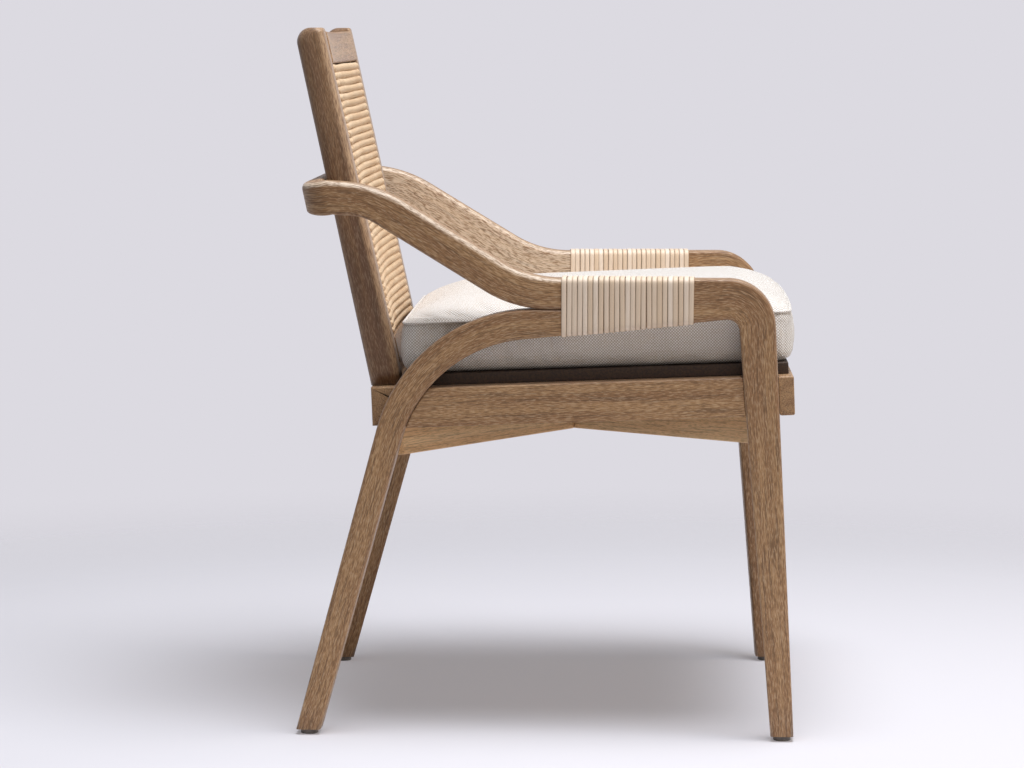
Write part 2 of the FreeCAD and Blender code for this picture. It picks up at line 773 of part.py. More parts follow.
def back_frame(parts):
    """Stiles, back rails, stakes, rope weave and the back's dowels."""
    parts["back_stile_right"] = side_board(stile_corners(), -HALF_BACK, stile_width)
    parts["back_stile_left"] = left_of(parts["back_stile_right"])

    spacing, middle, radius, centre, half_angle = weave_arc()
    top_low = stile_length() - top_rail_drop - top_rail_depth
    bottom_top = bottom_rail_rise + bottom_rail_depth
    stakes, sockets = [], []
    for index in range(stake_count):
        angle = half_angle * (2 * index / (stake_count - 1) - 1)
        place = Vector(radius * math.sin(angle), centre + radius * math.cos(angle), 0)
        foot = place + Vector(0, 0, bottom_top - stake_tenon)
        length = top_low - bottom_top + 2 * stake_tenon
        stakes.append(Part.makeCylinder(stake_diameter / 2, length, foot))
        sockets.append(
            Part.makeCylinder(
                stake_diameter / 2 + stake_clearance, length + 2 * stake_clearance,
                foot - Z_AXIS * stake_clearance,
            )
        )
    socket_group = Part.makeCompound(sockets)
    parts["weave_stakes"] = back_placed(Part.makeCompound(stakes))
    parts["back_top_rail"] = back_placed(back_rail(top_low, top_rail_depth).cut(socket_group))
    bottom_rail = back_rail(bottom_rail_rise, bottom_rail_depth).cut(socket_group)
    parts["back_bottom_rail"] = back_placed(bottom_rail)

    turns = int((top_low - bottom_top - rope_diameter - 2 * rope_clearance) // rope_pitch) + 1
    slack = top_low - bottom_top - rope_diameter - (turns - 1) * rope_pitch
    single = rope_turn()
    ropes = []
    for index in range(turns):
        copy = single.copy()
        copy.translate(Vector(0, 0, bottom_top + slack / 2 + rope_diameter / 2 + index * rope_pitch))
        ropes.append(copy)
    parts["rope_weave"] = back_placed(Part.makeCompound(ropes))

    places = []
    top_solid = (top_low + stake_tenon, top_low + top_rail_depth)
    bottom_solid = (bottom_rail_rise, bottom_top - stake_tenon)
    for low, high in (top_solid, bottom_solid):
        for share in (1, 3):
            height = low + (high - low) * share / 4
            places.append((Vector(-HALF_PANEL, middle, height), X_AXIS))
    holes = both_sides(back_placed(dowels(places, rail_dowel_length, dowel_clearance)))
    parts["back_rail_dowels"] = both_sides(back_placed(dowels(places, rail_dowel_length)))
    stiles = ["back_stile_right", "back_stile_left"]
    drill(parts, stiles + ["back_top_rail", "back_bottom_rail"], holes)

    foot_middle = BACK_FOOT + stile_foot_depth / 2
    stile_middle = -HALF_BACK + stile_width / 2
    upright = [
        (Vector(stile_middle + step * dowel_pair_spacing / 2, foot_middle, 0), Z_AXIS) for step in (-1, 1)
    ]
    holes = both_sides(seat_placed(dowels(upright, stile_dowel_length, dowel_clearance)))
    parts["stile_dowels"] = both_sides(seat_placed(dowels(upright, stile_dowel_length)))
    drill(parts, stiles + ["rear_rail"], holes)


def band_placed(shape):
    """Lean a shape drawn upright, with depth 0 on the stiles' back face, into the band's place."""
    foot, lean = stile_back_line()
    depth = foot[0] + (BAND_HEIGHT - foot[1]) * math.tan(math.radians(lean))
    placed = shape.copy()
    placed.rotate(ORIGIN, X_AXIS, -lean)
    placed.translate(Vector(0, depth, BAND_HEIGHT))
    return placed


def back_band(parts):
    """Band behind the stiles between the arms, with its screws, plugs and dowels."""
    blank = box_between(
        (-overall_width, 0, -band_depth / 2), (overall_width, band_thickness, band_depth / 2)
    )
    parts["back_band"] = band_placed(blank).common(space_between_sides(0))

    stile_middle = -HALF_BACK + stile_width / 2
    sizes = (band_screw_diameter, band_screw_length, band_screw_head_diameter, band_screw_head_height)
    screws, holes, plugs = [], [], []
    for step in (-1, 1):
        mouth = Vector(stile_middle, band_thickness, step * dowel_pair_spacing / 2)
        head = mouth - Y_AXIS * plug_depth
        for group, clearance in ((screws, 0.0), (holes, dowel_clearance)):
            fixing = screw(*sizes, clearance)
            fixing.rotate(ORIGIN, X_AXIS, -90)
            fixing.translate(head)
            group.append(band_placed(fixing))
        plugs.append(
            band_placed(Part.makeCylinder(plug_diameter / 2, plug_depth - dowel_clearance, mouth, -Y_AXIS))
        )
        holes.append(
            band_placed(Part.makeCylinder(plug_diameter / 2 + dowel_clearance, plug_depth, mouth, -Y_AXIS))
        )
    parts["band_screws"] = both_sides(Part.makeCompound(screws))
    parts["band_plugs"] = both_sides(Part.makeCompound(plugs))
    drill(parts, ("back_band", "back_stile_right", "back_stile_left"), both_sides(Part.makeCompound(holes)))

    end_depth = band_placed(Part.Vertex(0, band_thickness / 2, 0)).Point.y
    end = -half_width_at(end_depth, HALF_MEMBER)
    places = [
        (Vector(end, band_thickness / 2, step * dowel_pair_spacing / 2), X_AXIS) for step in (-1, 1)
    ]
    holes = both_sides(band_placed(dowels(places, rail_dowel_length, dowel_clearance)))
    parts["band_dowels"] = both_sides(band_placed(dowels(places, rail_dowel_length)))
    drill(parts, ("back_band", "arm_right", "arm_left"), holes)


def cushion_ends():
    """Front and rear depths of the cushion, level."""
    front, _ = front_rail_faces()
    return front - cushion_front_overhang, BACK_FOOT - cushion_rear_gap + deck_thickness * TILT_TAN


def cushion_outline(inset, height):
    """Plan outline of the cushion at a height, level, with rounded corners."""
    front, rear = cushion_ends()
    front, rear = front + inset, rear - inset
    gap = HALF_MEMBER + cushion_side_gap + inset
    front_half, rear_half = half_width_at(front, gap), half_width_at(rear, gap)
    level = deck_thickness + cushion_rest_gap + height
    corners = [(-front_half, front), (front_half, front), (rear_half, rear), (-rear_half, rear)]
    points = [Vector(across, depth, level) for across, depth in corners]
    return rounded_face(points, [cushion_corner_radius] * len(points)).OuterWire


def cushion_form(inset):
    """Closed cushion: an upright band and a low crown, drawn in by an inset all round."""
    band = Part.Face(cushion_outline(inset, inset)).extrude(Vector(0, 0, cushion_band_depth - inset))
    low = cushion_outline(inset, cushion_band_depth)
    high = cushion_outline(cushion_crown_inset + inset, cushion_band_depth + cushion_crown - inset)
    return band.fuse(Part.makeLoft([low, high], True)).removeSplitter()


def cushion(parts):
    """Cushion cover, foam, zip and zip slider."""
    _, rear = cushion_ends()
    middle = deck_thickness + cushion_rest_gap + cushion_band_depth / 2
    half_zip, half_tape = zip_length / 2, zip_width / 2
    slot = box_between(
        (-half_zip, rear - 2 * cover_thickness, middle - half_tape),
        (half_zip, rear + cover_thickness, middle + half_tape),
    )
    cover = cushion_form(0).cut(cushion_form(cover_thickness)).cut(slot)
    parts["cushion_cover"] = seat_placed(solid_of(cover))
    parts["cushion_foam"] = seat_placed(solid_of(cushion_form(cover_thickness + foam_clearance)))
    parts["zip_tape"] = seat_placed(
        box_between(
            (-half_zip + zip_clearance, rear - cover_thickness, middle - half_tape + zip_clearance),
            (half_zip - zip_clearance, rear, middle + half_tape - zip_clearance),
        )
    )
    start = -half_zip + slider_end_gap
    back = rear + slider_gap
    body = box_between(
        (start, back, middle - slider_width / 2),
        (start + slider_length, back + slider_thickness, middle + slider_width / 2),
    )
    hang = start + slider_length / 2
    pull = box_between(
        (hang - pull_width / 2, back + slider_thickness - pull_thickness, middle - pull_length),
        (hang + pull_width / 2, back + slider_thickness, middle - slider_width / 2),
    )
    parts["zip_slider"] = seat_placed(body.fuse(pull).removeSplitter())


def build():
    """Make every piece of the chair, by name."""
    parts = {}
    side_frames(parts)
    seat_rails(parts)
    seat_corners(parts)
    stretchers(parts)
    seat_fixings(parts)
    back_frame(parts)
    back_band(parts)
    cushion(parts)
    return parts


os.makedirs("parts", exist_ok=True)
for node, shape in build().items():
    shape.exportStep(os.path.join("parts", node + ".step"))
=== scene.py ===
import logging
import math
from collections.abc import Sequence
from dataclasses import dataclass, replace
from enum import Enum
from typing import Any

import bmesh
import bpy
import numpy as np
from mathutils import Matrix, Vector


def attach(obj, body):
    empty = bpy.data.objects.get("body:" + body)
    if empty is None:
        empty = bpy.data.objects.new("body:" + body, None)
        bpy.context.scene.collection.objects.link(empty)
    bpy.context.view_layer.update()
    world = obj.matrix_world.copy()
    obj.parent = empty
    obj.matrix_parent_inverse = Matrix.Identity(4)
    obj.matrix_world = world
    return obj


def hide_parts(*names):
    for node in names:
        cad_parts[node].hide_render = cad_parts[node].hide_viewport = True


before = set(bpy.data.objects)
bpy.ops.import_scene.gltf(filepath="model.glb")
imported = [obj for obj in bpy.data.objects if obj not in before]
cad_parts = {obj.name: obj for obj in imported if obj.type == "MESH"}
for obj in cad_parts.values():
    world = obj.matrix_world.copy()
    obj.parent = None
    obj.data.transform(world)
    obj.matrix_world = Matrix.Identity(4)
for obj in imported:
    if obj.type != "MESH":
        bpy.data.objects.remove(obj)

# Armed dining chair of brushed oak: a rope-woven back, strip-bound arms and a loose linen cushion.
# Sizes in the classes are millimetres and degrees; meshes are metres, in the frame of the packed
# model: the origin on the floor, +Z up, the sitter facing -Y with their right hand at -X.

LOG = logging.getLogger("dining_chair")
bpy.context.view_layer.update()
MM = 0.001
SEED = 7
BOARD_LENGTH = 4.0  # metres of board that the members are cut from
CORNER_STEPS = 5  # steps round each long edge of a member
CORNER_SIGNS = ((1, 1), (-1, 1), (-1, -1), (1, -1))
MOST_ROUND = 0.96  # largest share of a half side that a rounding takes
WELD_GAP = 0.01  # millimetres
EDGE_SEGMENTS = 3
EDGE_ANGLE = 40.0  # degrees between faces at which an edge is softened
ENDLESS = 1e6  # millimetres, for a pattern that doesn't change along a coordinate

# Socket numbers of a Mix node, for colours and for plain values
MIX_FACTOR, MIX_FIRST, MIX_SECOND, MIX_RESULT = 0, 6, 7, 2
MIX_FIRST_VALUE, MIX_SECOND_VALUE = 2, 3


class Side(Enum):
    """Side of the chair, as the sign of its X."""

    RIGHT = -1
    LEFT = 1

    @property
    def word(self) -> str:
        """Name of the side, as the nodes use it."""
        return self.name.lower()


class Body(Enum):
    """Moving body that a piece rides on."""

    FRAME = "frame"
    CUSHION = "cushion"
    SLIDER = "zip_slider"


class Slot(Enum):
    """Material slot of the record."""

    OAK = "brushed_oak"
    ROPE = "twisted_rope"
    STRIP = "binding_strip"
    COVER = "woven_cover"
    TAPE = "zip_tape"
    ZIP_METAL = "zip_metal"


def linear(colour: str) -> tuple[float, float, float, float]:
    """Turn an sRGB hex colour into linear light.

    Args:
        colour: Colour as #rrggbb.
    Returns:
        Linear red, green and blue, and an alpha of 1.
    """
    channels = [int(colour[start : start + 2], 16) / 255 for start in (1, 3, 5)]
    light = [tone / 12.92 if tone <= 0.04045 else ((tone + 0.055) / 1.055) ** 2.4 for tone in channels]
    return (*light, 1.0)


def add_node(
    tree: bpy.types.NodeTree, kind: str, inputs: dict[str | int, Any] | None = None, **settings: Any
) -> bpy.types.Node:
    """Add a shader node, set its fields and fill or link its sockets.

    Args:
        tree: Tree that gets the node.
        kind: Blender's name for the node, without its ShaderNode.
        inputs: Socket name or number to a value, a hex colour, or a socket to link.
        settings: Fields of the node.
    Returns:
        The node.
    """
    node = tree.nodes.new("ShaderNode" + kind)
    for name, value in settings.items():
        setattr(node, name, value)
    for name, value in (inputs or {}).items():
        if isinstance(value, bpy.types.NodeSocket):
            tree.links.new(value, node.inputs[name])
        elif isinstance(value, str):
            node.inputs[name].default_value = linear(value)
        else:
            node.inputs[name].default_value = value
    return node


def streaks(
    tree: bpy.types.NodeTree,
    vector: bpy.types.NodeSocket,
    size: Sequence[float],
    detail: float = 2.0,
    output: str = "Fac",
) -> bpy.types.NodeSocket:
    """Cloudy pattern drawn out to a real size.

    Args:
        tree: Tree that gets the pattern.
        vector: Coordinates in metres.
        size: Length of the pattern's patches along each coordinate, in millimetres.
        detail: Octaves of finer pattern.
        output: Output of the pattern to take.
    Returns:
        Socket with values from 0 to 1.
    """
    scale = [1 / (length * MM) for length in size]
    stretched = add_node(tree, "Mapping", {"Vector": vector, "Scale": scale})
    noise = add_node(tree, "TexNoise", {"Vector": stretched.outputs[0], "Scale": 1.0, "Detail": detail})
    return noise.outputs[output]


@dataclass(frozen=True)
class Stain:
    """Colour that covers a share of its ground as a pattern goes from one level to another."""

    colour: str
    start: float
    end: float
    share: float = 1.0

    def lay(
        self, tree: bpy.types.NodeTree, ground: str | bpy.types.NodeSocket, pattern: bpy.types.NodeSocket
    ) -> bpy.types.NodeSocket:
        """Lay the stain on a ground.

        Args:
            tree: Tree that gets the stain.
            ground: Hex colour or socket under the stain.
            pattern: Socket with the pattern.
        Returns:
            Socket with the stained colour.
        """
        levels = {"Value": pattern, "From Min": self.start, "From Max": self.end, "To Max": self.share}
        cover = add_node(tree, "MapRange", levels, interpolation_type="SMOOTHSTEP").outputs[0]
        mix = {MIX_FACTOR: cover, MIX_FIRST: ground, MIX_SECOND: self.colour}
        return add_node(tree, "Mix", mix, data_type="RGBA").outputs[MIX_RESULT]


@dataclass(frozen=True)
class Surface:
    """Sockets with the patterns of a surface."""

    colour: bpy.types.NodeSocket
    height: bpy.types.NodeSocket
    roughness: bpy.types.NodeSocket | None = None


@dataclass(frozen=True)
class Finish:
    """Surface of one real material, named for it and for how it was made."""

    name: str
    roughness: float = 0.6
    ior: float = 1.5
    metallic: float = 0.0
    sheen: float = 0.0
    relief: float = 0.1
    relief_strength: float = 0.3

    def paint(self, tree: bpy.types.NodeTree, axis: Vector | None) -> Surface:
        """Draw the patterns of the material.

        Args:
            tree: Tree of the material.
            axis: Direction of the grain, or None where the piece holds its own coordinates.
        Returns:
            The patterns.
        """
        raise NotImplementedError

    def dress(self, piece: bpy.types.Object, axis: Vector | None = None) -> None:
        """Give a piece this finish.

        Args:
            piece: Piece to dress.
            axis: Direction of its grain, or None where the piece holds its own coordinates.
        """
        name = self.name if axis is None else f"{self.name}_{piece.name}"
        material = bpy.data.materials.get(name)
        if material is None:
            material = bpy.data.materials.new(name)
            material.use_nodes = True
            tree = material.node_tree
            sockets = tree.nodes["Principled BSDF"].inputs
            sockets["Roughness"].default_value = self.roughness
            sockets["IOR"].default_value = self.ior
            sockets["Metallic"].default_value = self.metallic
            sockets["Sheen Weight"].default_value = self.sheen
            surface = self.paint(tree, axis)
            tree.links.new(surface.colour, sockets["Base Color"])
            if surface.roughness is not None:
                tree.links.new(surface.roughness, sockets["Roughness"])
            relief = {"Strength": self.relief_strength, "Distance": self.relief * MM}
            bump = add_node(tree, "Bump", relief | {"Height": surface.height})
            tree.links.new(bump.outputs[0], sockets["Normal"])
        piece.data.materials.clear()
        piece.data.materials.append(material)

    def grain(self, tree: bpy.types.NodeTree, field: str, axis: Vector | None) -> bpy.types.NodeSocket:
        """Coordinates in metres with X along the grain.

        Args:
            tree: Tree that gets the coordinates.
            field: Name of the piece's own coordinates.
            axis: Direction of the grain, or None where the piece holds its own coordinates.
        Returns:
            Socket with the coordinates.
        """
        if axis is None:
            return add_node(tree, "Attribute", attribute_name=field).outputs["Vector"]
        turn = axis.rotation_difference(Vector((1, 0, 0))).to_euler()
        place = add_node(tree, "TexCoord").outputs["Object"]
        return add_node(tree, "Mapping", {"Vector": place, "Rotation": turn}).outputs[0]


@dataclass(frozen=True)
class BrushedOak(Finish):
    """Oak, wire-brushed so that its open pores show as fine dark streaks, then limed and waxed.

    It gives the eye a matt mid brown with short dark and grey streaks along each member, slow
    changes of tone across the board, and paler edges and faces: partly worn, and partly painted
    highlight and painted light where the lamp catches them.
    """

    sheen: float = 0.15
    relief: float = 0.35
    relief_strength: float = 0.45
    heart: str = "#946c46"
    sap: Stain = Stain("#af875c", 0.34, 0.66)
    line: Stain = Stain("#5a4029", 0.46, 0.37, 0.5)
    pore: Stain = Stain("#5a4029", 0.5, 0.4, 0.48)
    lime: Stain = Stain("#e0c7a3", 0.54, 0.63, 0.3)
    # Pale colour of worn edges, also painted highlight on lit top edges and painted light on lit faces
    wear_and_highlight: Stain = Stain("#ead8c1", 0.05, 1.0, 0.72)
    band_size: Sequence[float] = (320.0, 12.0, 12.0)
    band_detail: float = 3.0
    line_size: Sequence[float] = (64.0, 1.9, 1.9)
    pore_size: Sequence[float] = (8.0, 0.85, 0.85)  # real pores are 0.3 wide; drawn coarser to show
    wave_size: Sequence[float] = (150.0, 40.0, 40.0)
    wave_reach: float = 7.0
    pore_floor: float = 0.36
    pale_edge_crest: float = 0.58
    pale_edge_least: float = 0.3
    wax_crest: float = 0.6
    pore_dullness: float = 0.12
    crest_gloss: float = 0.05

    def paint(self, tree: bpy.types.NodeTree, axis: Vector | None) -> Surface:
        """Draw streaked oak.

        Args:
            tree: Tree of the material.
            axis: Direction of the grain, or None where the piece holds its own coordinates.
        Returns:
            The patterns.
        """
        board = self.grain(tree, "grain", axis)
        wave = streaks(tree, board, self.wave_size, 1.0, "Color")
        bent = {0: wave, 1: (0.0, self.wave_reach * MM, self.wave_reach * MM), 2: board}
        grain = add_node(tree, "VectorMath", bent, operation="MULTIPLY_ADD").outputs[0]
        pores = streaks(tree, grain, self.pore_size)
        ground = self.sap.lay(tree, self.heart, streaks(tree, grain, self.band_size, self.band_detail))
        lined = self.line.lay(tree, ground, streaks(tree, grain, self.line_size))
        limed = self.lime.lay(tree, self.pore.lay(tree, lined, pores), pores)
        # Paler edges and faces where the arris field is set: wear, and painted highlight and painted light,
        # broken up by the pores
        arris = add_node(tree, "Attribute", attribute_name="arris").outputs["Fac"]
        crests = {"Value": pores, "From Min": self.pore_floor, "From Max": self.pale_edge_crest}
        crests["To Min"] = self.pale_edge_least
        pale_edge_share = add_node(tree, "MapRange", crests, interpolation_type="SMOOTHSTEP").outputs[0]
        edge = add_node(tree, "Math", {0: arris, 1: pale_edge_share}, operation="MULTIPLY").outputs[0]
        wax = {"Value": pores, "From Min": self.pore_floor, "From Max": self.wax_crest}
        wax |= {"To Min": self.roughness + self.pore_dullness, "To Max": self.roughness - self.crest_gloss}
        dull = add_node(tree, "MapRange", wax, interpolation_type="SMOOTHSTEP").outputs[0]
        return Surface(self.wear_and_highlight.lay(tree, limed, edge), pores, dull)


@dataclass(frozen=True)
class SawnWood(Finish):
    """Planed softwood, plywood or dowel stock: faint long streaks, matt, of two near tones."""

    relief: float = 0.15
    dark: str = "#a98a66"
    pale: Stain = Stain("#c9ab84", 0.35, 0.65)
    streak_size: Sequence[float] = (90.0, 2.4, 2.4)
    streak_detail: float = 3.0

    def paint(self, tree: bpy.types.NodeTree, axis: Vector | None) -> Surface:
        """Draw two-toned streaks.

        Args:
            tree: Tree of the material.
            axis: Direction of the grain, or None where the piece holds its own coordinates.
        Returns:
            The patterns.
        """
        tone = streaks(tree, self.grain(tree, "grain", axis), self.streak_size, self.streak_detail)
        return Surface(self.pale.lay(tree, self.dark, tone), tone)


@dataclass(frozen=True)
class TwistedRope(Finish):
    """Straw-coloured cord of two twisted strands.

    It gives the eye pale satin crests, warm brown painted shade in the lays between strands, and
    broken fibres.
    """

    relief: float = 0.3
    relief_strength: float = 0.4
    crest: str = "#ead0ad"
    dry: Stain = Stain("#d6b48c", 0.35, 0.7, 0.65)
    fibre: Stain = Stain("#a87c52", 0.52, 0.36, 0.6)
    # Painted shade in the lays between strands, laid by the lobes' crest height
    groove_shade: Stain = Stain("#a87c52", 0.6, 0.0, 0.8)
    fibre_size: Sequence[float] = (7.0, 1.2, 1.2)  # real fibres are 0.2 wide; drawn coarser to show
    row_size: Sequence[float] = (70.0, ENDLESS, 70.0)

    def paint(self, tree: bpy.types.NodeTree, axis: Vector | None) -> Surface:
        """Draw twisted straw.

        Args:
            tree: Tree of the material.
            axis: Direction of the grain, or None where the piece holds its own coordinates.
        Returns:
            The patterns.
        """
        strand = self.grain(tree, "strand", axis)
        height = add_node(tree, "Attribute", attribute_name="crest").outputs["Fac"]
        fibres = streaks(tree, strand, self.fibre_size)
        straw = self.dry.lay(tree, self.crest, streaks(tree, strand, self.row_size))
        return Surface(self.groove_shade.lay(tree, self.fibre.lay(tree, straw, fibres), height), fibres)


@dataclass(frozen=True)
class BindingStrip(Finish):
    """Flat peeled strip, bound on damp: beige, satin along its length, no two turns alike."""

    relief: float = 0.2
    relief_strength: float = 0.35
    pale: str = "#f6e4d0"
    tan: str = "#e2c8aa"
    fibre: Stain = Stain("#e2c8aa", 0.55, 0.3, 0.5)
    # Painted shade along each strip's edges, where neighbouring turns meet
    rim: Stain = Stain("#a48a6e", 2.088 * MM, 2.9 * MM, 0.5)  # from the strip's middle line outwards
    fibre_size: Sequence[float] = (34.0, 0.8, 1000.0)  # real fibres are 0.1 wide; drawn coarser to show

    def paint(self, tree: bpy.types.NodeTree, axis: Vector | None) -> Surface:
        """Draw fibrous strip.

        Args:
            tree: Tree of the material.
            axis: Direction of the grain, or None where the piece holds its own coordinates.
        Returns:
            The patterns.
        """
        strip = self.grain(tree, "strip", axis)
        split = add_node(tree, "SeparateXYZ", {0: strip})
        turn = add_node(tree, "TexWhiteNoise", {"W": split.outputs["Z"]}, noise_dimensions="1D")
        fibres = streaks(tree, strip, self.fibre_size)
        mix = {MIX_FACTOR: turn.outputs["Value"], MIX_FIRST: self.pale, MIX_SECOND: self.tan}
        tone = add_node(tree, "Mix", mix, data_type="RGBA").outputs[MIX_RESULT]
        # Distance from the strip's middle line, which paints shade towards its edges
        across = add_node(tree, "Math", {0: split.outputs["Y"]}, operation="ABSOLUTE").outputs[0]
        return Surface(self.rim.lay(tree, self.fibre.lay(tree, tone, fibres), across), fibres)


@dataclass(frozen=True)
class PlainWovenLinen(Finish):
    """Undyed linen and cotton canvas in a plain weave, a pale warp and a greyer weft.

    It gives the eye an off-white dotted with grey, slubs along single threads, and a soft broken
    grid when seen close.
    """

    sheen: float = 0.15
    relief: float = 0.35
    relief_strength: float = 0.5
    thread: str = "#fdfbf8"
    weft: str = "#c6bcb0"
    shade: Stain = Stain("#8b7d6e", 0.5, 0.0, 0.12)
    slub: Stain = Stain("#eee7dd", 0.5, 0.7, 0.8)
    spacing: float = 1.8  # real threads are 0.7 apart; drawn coarser to show
    slub_length: float = 22.0
    wander_size: Sequence[float] = (9.0, 9.0, ENDLESS)
    wander_reach: float = 1.2

    def paint(self, tree: bpy.types.NodeTree, axis: Vector | None) -> Surface:
        """Draw a plain weave.

        Args:
            tree: Tree of the material.
            axis: Direction of the grain, or None where the piece holds its own coordinates.
        Returns:
            The patterns.
        """
        thread = self.grain(tree, "thread", axis)
        wander = {0: streaks(tree, thread, self.wander_size), 1: self.wander_reach * MM}
        shift = add_node(tree, "Math", wander, operation="MULTIPLY").outputs[0]
        moved = add_node(tree, "VectorMath", {0: thread, 1: shift}, operation="ADD").outputs[0]
        scale = (1 / (self.spacing * MM),) * 3
        counted = add_node(tree, "Mapping", {"Vector": moved, "Scale": scale}).outputs[0]
        split = add_node(tree, "SeparateXYZ", {0: counted})
        heights = []
        for way in ("X", "Y"):
            turn = add_node(tree, "Math", {0: split.outputs[way], 1: math.pi}, operation="MULTIPLY")
            wave = add_node(tree, "Math", {0: turn.outputs[0]}, operation="SINE")
            heights.append(add_node(tree, "Math", {0: wave.outputs[0]}, operation="ABSOLUTE").outputs[0])
        over = add_node(tree, "TexChecker", {"Vector": counted, "Scale": 1.0}).outputs["Fac"]
        level = {MIX_FACTOR: over, MIX_FIRST_VALUE: heights[0], MIX_SECOND_VALUE: heights[1]}
        height = add_node(tree, "Mix", level).outputs[0]
        long_slubs = streaks(tree, thread, (self.slub_length, self.spacing, ENDLESS))
        cross_slubs = streaks(tree, thread, (self.spacing, self.slub_length, ENDLESS))
        slubs = add_node(tree, "Math", {0: long_slubs, 1: cross_slubs}, operation="MAXIMUM").outputs[0]
        yarn = self.slub.lay(tree, self.thread, slubs)
        mix = {MIX_FACTOR: over, MIX_FIRST: yarn, MIX_SECOND: self.weft}
        crossed = add_node(tree, "Mix", mix, data_type="RGBA").outputs[MIX_RESULT]
        return Surface(self.shade.lay(tree, crossed, height), height)


@dataclass(frozen=True)
class SpeckledFinish(Finish):
    """Moulded plastic, plated steel, cast metal or cotton tape.

    It gives the eye one colour, faintly clouded, with duller and shinier patches.
    """

    relief: float = 0.05
    colour: str = "#35322f"
    cloud: str = "#46423d"
    cloud_levels: Sequence[float] = (0.4, 0.65)
    patch: float = 6.0
    detail: float = 4.0
    wear_levels: Sequence[float] = (0.35, 0.65)
    gloss: float = 0.06
    dullness: float = 0.08

    def paint(self, tree: bpy.types.NodeTree, axis: Vector | None) -> Surface:
        """Draw a clouded colour.

        Args:
            tree: Tree of the material.
            axis: Direction of the grain, which the clouds don't follow.
        Returns:
            The patterns.
        """
        place = add_node(tree, "TexCoord").outputs["Object"]
        clouds = streaks(tree, place, (self.patch,) * 3, self.detail)
        colour = Stain(self.cloud, *self.cloud_levels).lay(tree, self.colour, clouds)
        wear = {"Value": clouds, "From Min": self.wear_levels[0], "From Max": self.wear_levels[1]}
        wear |= {"To Min": self.roughness - self.gloss, "To Max": self.roughness + self.dullness}
        dull = add_node(tree, "MapRange", wear, interpolation_type="SMOOTHSTEP").outputs[0]
        return Surface(colour, clouds, dull)


# Boards of the legs, arms and rails: mid brown, with pale edges of rubbed wear and painted highlight.
OAK = BrushedOak("wire_brushed_oak", roughness=0.48)
# Stiles: oak darker and less limed as painted shade, tan as painted light on front edges and faces.
STILE_SHADE_OAK = BrushedOak(
    "brushed_oak_stile_shade",
    roughness=0.52,
    heart="#74533a",
    sap=replace(OAK.sap, colour="#8f6b49"),
    lime=replace(OAK.lime, share=0.18),
    wear_and_highlight=replace(OAK.wear_and_highlight, colour="#c2a07c", share=0.75),
)
# Stretchers: oak paler as painted light, so they read as lit under the seat; fainter lines and pores.
PALE_OAK = BrushedOak(
    "stretcher_oak_painted_light",
    roughness=0.55,
    heart="#d8aa76",
    sap=replace(OAK.sap, colour="#e6bf8c"),
    line=replace(OAK.line, share=0.35),
    pore=replace(OAK.pore, share=0.3),
    lime=replace(OAK.lime, share=0.2),
)
# Blocks, cleat, dowels and stakes: pale, plain and left bare.
BLOCK_WOOD = SawnWood("planed_softwood", roughness=0.7)
# Plywood coloured dark brown as painted shade, so that the deck reads as a shadow line.
DECK_PLY = SawnWood(
    "deck_plywood_painted_shade", roughness=0.65, dark="#33241a", pale=replace(BLOCK_WOOD.pale, colour="#473423")
)
# Cord of the back: pale straw with a satin crest on each strand.
ROPE = TwistedRope("twisted_straw_rope", roughness=0.62)
# Strip round the arms: beige, with a tone of its own on each turn.
STRIP = BindingStrip("peeled_binding_strip", roughness=0.5)
# Cover of the cushion: off-white dotted with grey, and a little finer on its piping.
LINEN = PlainWovenLinen("plain_woven_linen", roughness=0.9)
PIPING = PlainWovenLinen("linen_piping", roughness=0.9, spacing=1.6)
# Cotton tape, matt and pale, and the grey metals and nylon of the fittings.
TAPE = SpeckledFinish("woven_zip_tape", roughness=0.85, colour="#cfc6b8", cloud="#e0d8cb", patch=1.4)
NICKEL = SpeckledFinish(
    "cast_zip_nickel", roughness=0.32, metallic=1.0, colour="#8d8a84", cloud="#a5a29b"
)
STEEL = SpeckledFinish(
    "zinc_plated_steel", roughness=0.38, metallic=1.0, colour="#a3a19c", cloud="#b9b7b1"
)
GLIDE = SpeckledFinish("moulded_nylon_glide", roughness=0.5, colour="#5b5753", cloud="#726d68")


def unit(vector: np.ndarray) -> np.ndarray:
    """Vector of length 1 in the same direction."""
    return vector / np.linalg.norm(vector)


def leaning(degrees: float) -> tuple[np.ndarray, np.ndarray]:
    """Rearward normal and upward direction of a face that leans back.

    Args:
        degrees: Lean from the upright.
    Returns:
        The normal and the upward direction.
    """
    angle = math.radians(degrees)
    normal = np.array((0.0, math.cos(angle), -math.sin(angle)))
    upward = np.array((0.0, math.sin(angle), math.cos(angle)))
    return normal, upward


@dataclass(frozen=True)
class Corner:
    """Corner of an outline, with its rounding, in millimetres."""

    first: float
    second: float
    radius: float = 0.0

    @property
    def place(self) -> np.ndarray:
        """Corner as a point."""
        return np.array((self.first, self.second))


def straight(start: np.ndarray, end: np.ndarray, steps: int) -> np.ndarray:
    """Points between two points, without the two."""
    return np.linspace(start, end, steps + 1)[1:-1]


